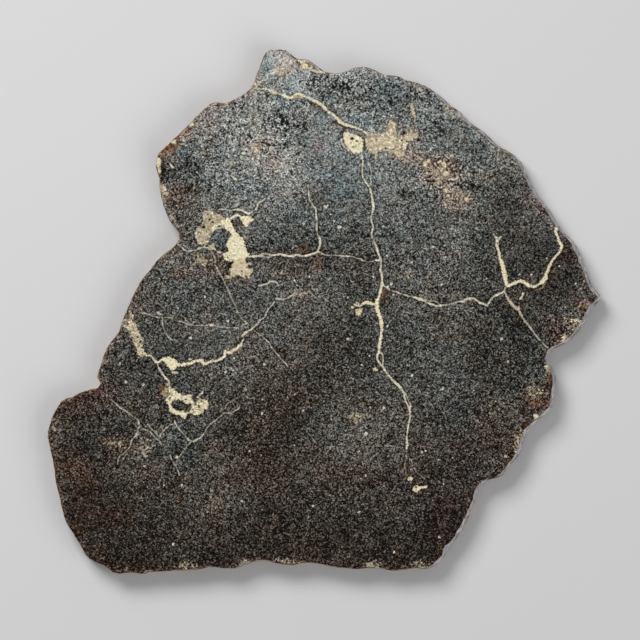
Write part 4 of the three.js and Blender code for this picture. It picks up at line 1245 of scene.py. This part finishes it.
class Shader:
    """Short ways to add nodes to a material."""

    def __init__(self, name):
        self.material = bpy.data.materials.new(name)
        self.material.use_nodes = True
        self.tree = self.material.node_tree
        self.tree.nodes.clear()
        coordinates = self.node("ShaderNodeTexCoord")
        scaled = self.node("ShaderNodeVectorMath", operation="SCALE")
        self.tree.links.new(coordinates.outputs["Object"], scaled.inputs[0])
        scaled.inputs["Scale"].default_value = 1000.0
        self.millimetres = scaled.outputs[0]

    def node(self, kind, **settings):
        """A new node with its settings."""
        made = self.tree.nodes.new(kind)
        for name, value in settings.items():
            setattr(made, name, value)
        return made

    def feed(self, socket, value):
        """Links a value to a socket, or sets it there."""
        if isinstance(value, Number):
            self.tree.links.new(value.socket, socket)
        elif isinstance(value, bpy.types.NodeSocket):
            self.tree.links.new(value, socket)
        elif isinstance(value, tuple):
            socket.default_value = (*value, 1.0)
        else:
            socket.default_value = value

    def math(self, operation, *inputs):
        """A number worked out from other numbers."""
        node = self.node("ShaderNodeMath", operation=operation)
        for socket, value in zip(node.inputs, inputs):
            self.feed(socket, value)
        return Number(self, node.outputs[0])

    def attribute(self, name):
        """One of the values that each point of the mesh has."""
        node = self.node("ShaderNodeAttribute", attribute_name=name)
        return Number(self, node.outputs["Fac"])

    def noise(self, per_mm, detail=2.0, roughness=0.5):
        """Smooth noise about 0, from about -0.5 to 0.5."""
        node = self.node("ShaderNodeTexNoise")
        self.tree.links.new(self.millimetres, node.inputs["Vector"])
        node.inputs["Scale"].default_value = per_mm
        node.inputs["Detail"].default_value = detail
        node.inputs["Roughness"].default_value = roughness
        return Number(self, node.outputs["Fac"]) - 0.5

    def cells(self, per_mm):
        """Crystal-like cells: the distance from a cell's middle, and three random numbers."""
        node = self.node("ShaderNodeTexVoronoi")
        self.tree.links.new(self.millimetres, node.inputs["Vector"])
        node.inputs["Scale"].default_value = per_mm
        split = self.node("ShaderNodeSeparateColor")
        self.tree.links.new(node.outputs["Color"], split.inputs[0])
        return (Number(self, node.outputs["Distance"]), Number(self, split.outputs[0]),
                Number(self, split.outputs[1]), Number(self, split.outputs[2]))

    def mix(self, share, first, second):
        """A colour between two colours."""
        node = self.node("ShaderNodeMix", data_type="RGBA")
        self.feed(node.inputs[0], share)
        self.feed(node.inputs[6], first)
        self.feed(node.inputs[7], second)
        return node.outputs[2]

    def colour(self, red_part, green_part, blue_part):
        """A colour from its three shares."""
        node = self.node("ShaderNodeCombineColor")
        for socket, value in zip(node.inputs, (red_part, green_part, blue_part)):
            self.feed(socket, value)
        return node.outputs[0]

    def shade(self, colour, amount):
        """A colour made lighter or darker by a factor."""
        node = self.node("ShaderNodeVectorMath", operation="SCALE")
        self.feed(node.inputs[0], colour)
        self.feed(node.inputs["Scale"], amount)
        return node.outputs[0]

    def finished(self, skin):
        """The material with its skin joined to its output."""
        end = self.node("ShaderNodeOutputMaterial")
        self.feed(end.inputs["Surface"], skin.outputs[0])
        return self.material


def shown(red_part, green_part, blue_part):
    """A displayed colour from 0 to 255 as shares."""
    return (red_part / 255, green_part / 255, blue_part / 255)


TAN_GRAIN_DARK = shown(140, 128, 108)
TAN_GRAIN_PALE = shown(228, 214, 188)
RUST_DARK = shown(44, 27, 15)
RUST_PALE = shown(176, 122, 78)
DARK_LINE = shown(26, 19, 13)
VEIN_HEM = shown(36, 26, 17)
TAN_THREAD = shown(206, 203, 190)
TAN_PATCH = shown(186, 166, 138)
CREAM_THREAD = shown(240, 235, 212)
CREAM_PATCH = shown(243, 232, 196)
CRYSTAL_DULL = shown(206, 202, 188)
CRYSTAL_BRIGHT = shown(248, 244, 232)
# Black of the dark grains, and painted shade in the pits
BLACK_AND_PIT_SHADE = shown(10, 12, 12)
RIND_DARK = shown(74, 63, 52)
RIND_BROWN = shown(146, 128, 104)
RIND_TAN = shown(206, 188, 158)
# Painted pale bluish reflection on the edge that faces right, with grey between its beads
RIND_RUST = shown(128, 80, 46)
SHEEN_DULL = shown(184, 184, 196)
SHEEN_BRIGHT = shown(240, 240, 246)
SHEEN_GREY = shown(128, 122, 122)


class Grains:
    """The stone's crystals in three sizes, each with three random numbers, and a soft noise over them."""

    def __init__(self, s):
        _, self.fine_a, self.fine_b, self.fine_c = s.cells(FINE_PER_MM)
        _, self.mid_a, self.mid_b, self.mid_c = s.cells(MIDDLE_PER_MM)
        _, self.big_a, self.big_b, self.big_c = s.cells(BIG_PER_MM)
        self.soft = s.noise(2.6, 3.0, 0.6)


def plain_stone(s, g):
    """Grey stone: fine, middling and, in the coarser zones, big grains, with its tint."""
    coarse_in = s.attribute("coarse")
    red_in = s.attribute("red")
    big_share = 0.16 + 0.16 * coarse_in
    grain = (g.fine_a - 0.5) * 0.95 + (g.mid_a - 0.5) * 0.3 + (g.big_a - 0.5) * big_share
    sparkle = g.mid_b.above(0.955, 0.985) * 0.12
    mottling = s.noise(1.0, 3.0, 0.6) * s.math("MAXIMUM", -0.8 * coarse_in - 0.36, 0.0)
    # The level carries the painted light that falls off down the face
    grey = s.attribute("level") * (1.17 / 255) - 0.085 + grain * (0.66 + 0.2 * coarse_in) + sparkle + mottling
    pepper = s.attribute("pepper") + (g.mid_c - 0.5) * 0.7 + (g.big_c - 0.5) * 0.35 + (g.fine_c - 0.5) * 0.2
    grey = grey * (1.0 - 0.72 * pepper.above(0.5, 0.62))
    grey = s.math("MAXIMUM", grey, 0.014)
    # Warmth below 0 is cool grey-blue, in the upper part partly a painted bluish reflection
    tint = s.attribute("warmth") + (g.big_b - 0.5) * 0.3 + (g.mid_c - 0.5) * 0.1 + s.noise(0.5, 2.0) * 0.9
    return s.colour(
        grey + tint * 0.0192 + red_in * 0.028 + 0.009,
        grey - tint * 0.0043 - red_in * 0.016 + 0.0047,
        grey - tint * 0.0153 - red_in * 0.012 - 0.0137)


def with_stains(s, g, stone):
    """The stone with its tan grains, rust and dark lines."""
    tan_share = s.attribute("tan") + (g.mid_b - 0.5) * 0.7 + (g.fine_b - 0.5) * 0.3 + g.soft * 1.0
    tan_colour = s.mix(g.fine_a, TAN_GRAIN_DARK, TAN_GRAIN_PALE)
    stone = s.mix(tan_share.above(0.4, 0.76) * 0.85, stone, tan_colour)
    rust_share = s.attribute("rust") + (g.mid_b - 0.5) * 0.7 + g.soft * 1.2
    rust_colour = s.mix(g.fine_a * 0.6 + g.mid_a * 0.5, RUST_DARK, RUST_PALE)
    stone = s.mix(rust_share.above(0.35, 0.75) * 0.75, stone, rust_colour)
    return s.mix(s.attribute("dark") * 0.85, stone, DARK_LINE)


def margin_noise(s):
    """How far the margins of veins and spots wander, most where they are rough or broken up like lace."""
    rough_in = s.attribute("pale_rough")
    lace_in = s.attribute("lace")
    ragged = s.noise(2.2, 2.0, 0.6) * (5.0 * rough_in + 9.0 * lace_in)
    return ragged + s.noise(5.0, 1.0) * (2.5 * rough_in + 4.0 * lace_in) + s.noise(1.3, 2.0) * 1.6


def with_veins(s, g, stone, ragged):
    """The stone with its veins: a darker brown hem, then the pale mineral with ragged margins."""
    pale_in = s.attribute("pale")
    strength_in = s.attribute("pale_strength")
    rough_in = s.attribute("pale_rough")
    lace_in = s.attribute("lace")
    pale_depth = pale_in + ragged - lace_in * 0.4
    hem = pale_depth.above(-2.4, -0.8) * (s.noise(0.6, 2.0) + 0.5).above(0.4, 0.6) * strength_in
    stone = s.mix(hem * 0.5, stone, VEIN_HEM)
    margin = 1.0 - (pale_in + ragged * 0.6).above(0.2, 1.3)
    tone = s.attribute("pale_tone") + s.noise(1.6, 2.0) * 1.1 + 0.5 * margin * rough_in - 0.12
    wide = rough_in.above(0.22, 0.56)
    tan_tone = s.mix(wide, TAN_THREAD, TAN_PATCH)
    cream = s.mix(rough_in.above(0.4, 0.75), CREAM_THREAD, CREAM_PATCH)
    pale_colour = s.mix(s.math("MAXIMUM", tone, 0.0), cream, tan_tone)
    shading = 0.9 + 0.18 * g.fine_a + 0.34 * g.soft - 0.22 * g.fine_c.above(0.88, 0.96)
    pale_colour = s.shade(pale_colour, shading + lace_in * ((g.mid_a - 0.5) * 0.5 + g.soft * 0.9))
    pale_share = s.math("MINIMUM", pale_depth.above(-0.5, 0.4) * strength_in * 1.12, 1.0)
    gaps = (g.mid_b * 0.5 + g.fine_b * 0.5 + g.soft * 0.9).above(0.54, 0.74)
    pale_share = pale_share * (1.0 - gaps * lace_in * 0.8)
    broken = (s.noise(0.9, 2.0) + 0.62).above(0.35, 0.75)
    pale_share = pale_share * (1.0 - (1.0 - wide) * (0.14 + (1.0 - broken) * 0.46))
    return s.mix(pale_share, stone, pale_colour)


def with_spots(s, g, stone, ragged):
    """The stone with its white crystals, its black grains and painted shade in its holes."""
    crystal = s.mix(g.fine_a, CRYSTAL_DULL, CRYSTAL_BRIGHT)
    white_depth = s.attribute("white") + ragged * 0.4 + g.soft * 3.0
    stone = s.mix(white_depth.above(-0.45, 0.45) * 0.9, stone, crystal)
    black_depth = s.attribute("black") + ragged * 0.4 + g.soft * 2.0
    return s.mix(black_depth.above(-0.45, 0.45) * 0.92, stone, BLACK_AND_PIT_SHADE)


def weathered_rind_and_sheen(s, g):
    """The edge's brown rind with tan and rust patches, under a painted pale reflection in beads where it
    faces right.
    """
    brown = s.noise(0.32, 3.0, 0.6) + s.noise(1.3, 3.0, 0.6) * 0.5
    rind = s.mix(brown.above(-0.12, 0.12), RIND_DARK, RIND_BROWN)
    rind = s.mix((s.noise(0.55, 2.0) + g.soft * 0.3).above(0.03, 0.14) * 0.85, rind, RIND_TAN)
    rind = s.mix((s.noise(0.45, 2.0) + g.soft * 0.3).above(0.1, 0.2) * 0.7, rind, RIND_RUST)
    rind = s.shade(rind, 0.8 + 0.4 * g.fine_a + 0.5 * g.soft)
    # Painted pale reflection where the edge faces right, mottled in beads
    sheen_bead, sheen_bead_a, _, _ = s.cells(SHEEN_BEADS_PER_MM)
    painted_sheen = s.mix(sheen_bead_a, SHEEN_DULL, SHEEN_BRIGHT)
    painted_sheen = s.mix((sheen_bead + g.soft * 0.5).above(0.42, 0.7) * 0.5, painted_sheen, SHEEN_GREY)
    painted_sheen_share = (s.attribute("sheen_facing") + s.noise(0.5, 3.0, 0.6) * 0.9).above(0.45, 0.75)
    return s.mix(painted_sheen_share * (0.75 + s.noise(0.6, 2.0)).above(0.35, 0.75) * 0.9, rind, painted_sheen)


def stone_material():
    """Fine-grained grey stone with pale veins, and its weathered edge. Colours are mixed as displayed."""
    s = Shader("angrite_stone")
    g = Grains(s)
    edge_in = s.attribute("edge")
    ragged = margin_noise(s)
    stone = with_stains(s, g, plain_stone(s, g))
    stone = with_spots(s, g, with_veins(s, g, stone, ragged), ragged)
    edge_share = (edge_in + s.noise(1.5, 2.0) * 0.3).above(0.1, 0.45)
    looks = s.mix(edge_share, stone, weathered_rind_and_sheen(s, g))
    linear = s.node("ShaderNodeGamma")
    s.feed(linear.inputs["Color"], looks)
    linear.inputs["Gamma"].default_value = 2.2
    bump = s.node("ShaderNodeBump")
    bump.inputs["Strength"].default_value = 0.5
    bump.inputs["Distance"].default_value = 0.03 * MM
    s.feed(bump.inputs["Height"], g.fine_a * 0.5 + g.soft * (1.0 + 1.5 * edge_in))
    skin = s.node("ShaderNodeBsdfPrincipled")
    s.feed(skin.inputs["Base Color"], linear.outputs[0])
    s.feed(skin.inputs["Roughness"], 0.5 + 0.12 * g.fine_c + 0.28 * edge_in)
    s.feed(skin.inputs["Normal"], bump.outputs[0])
    skin.inputs["Specular IOR Level"].default_value = 0.1
    return s.finished(skin)


slice_mesh.materials.append(stone_material())


def floor_material():
    """Plain pale matte board."""
    s = Shader("pale_floor")
    skin = s.node("ShaderNodeBsdfPrincipled")
    skin.inputs["Base Color"].default_value = (0.74, 0.74, 0.75, 1.0)
    skin.inputs["Roughness"].default_value = 0.9
    skin.inputs["Specular IOR Level"].default_value = 0.1
    return s.finished(skin)


floor_mesh = bpy.data.meshes.new("floor")
floor_signs = ((-1, -1), (1, -1), (1, 1), (-1, 1))
floor_corners = [(x * FLOOR_HALF_WIDTH, y * FLOOR_HALF_WIDTH, 0) for x, y in floor_signs]
floor_mesh.from_pydata(floor_corners, [], [(0, 1, 2, 3)])
floor_mesh.materials.append(floor_material())
floor = bpy.data.objects.new("floor", floor_mesh)
floor.location.z = cad_low.z - FLOOR_GAP
bpy.context.scene.collection.objects.link(floor)

# Soft light: a lamp from the upper left, a larger and weaker one from the lower right, and a dim room
room = bpy.data.worlds.new("room")
room.use_nodes = True
room_looks = room.node_tree.nodes["Background"]
room_looks.inputs["Color"].default_value = (1.0, 1.0, 1.0, 1.0)
room_looks.inputs["Strength"].default_value = ROOM_LIGHT
bpy.context.scene.world = room
bpy.context.scene.view_settings.view_transform = "Standard"


def lamp(name, place_at, size, watts):
    """A square lamp that faces the slice."""
    light = bpy.data.lights.new(name, "AREA")
    light.size = size
    light.energy = watts
    holder = bpy.data.objects.new(name, light)
    holder.location = place_at
    holder.rotation_euler = (-Vector(place_at)).to_track_quat("-Z", "Y").to_euler()
    bpy.context.scene.collection.objects.link(holder)


lamp("key_lamp", KEY_PLACE, KEY_SIZE, KEY_WATTS)
lamp("fill_lamp", FILL_PLACE, FILL_SIZE, FILL_WATTS)

# The camera looks straight down on the cut face, as the reference picture does
camera_data = bpy.data.cameras.new("camera")
camera_data.sensor_width = SENSOR_WIDTH_MM
camera_data.lens = SENSOR_WIDTH_MM * CAMERA_HEIGHT / (PICTURE_SIZE_PX * METRES_PER_PX)
camera = bpy.data.objects.new("camera", camera_data)
camera_x, camera_y = to_world(PICTURE_SIZE_PX / 2, PICTURE_SIZE_PX / 2)
camera.location = (camera_x, camera_y, cad_high.z + CAMERA_HEIGHT)
bpy.context.scene.collection.objects.link(camera)
bpy.context.scene.camera = camera

print("slice triangles", len(slice_mesh.polygons))
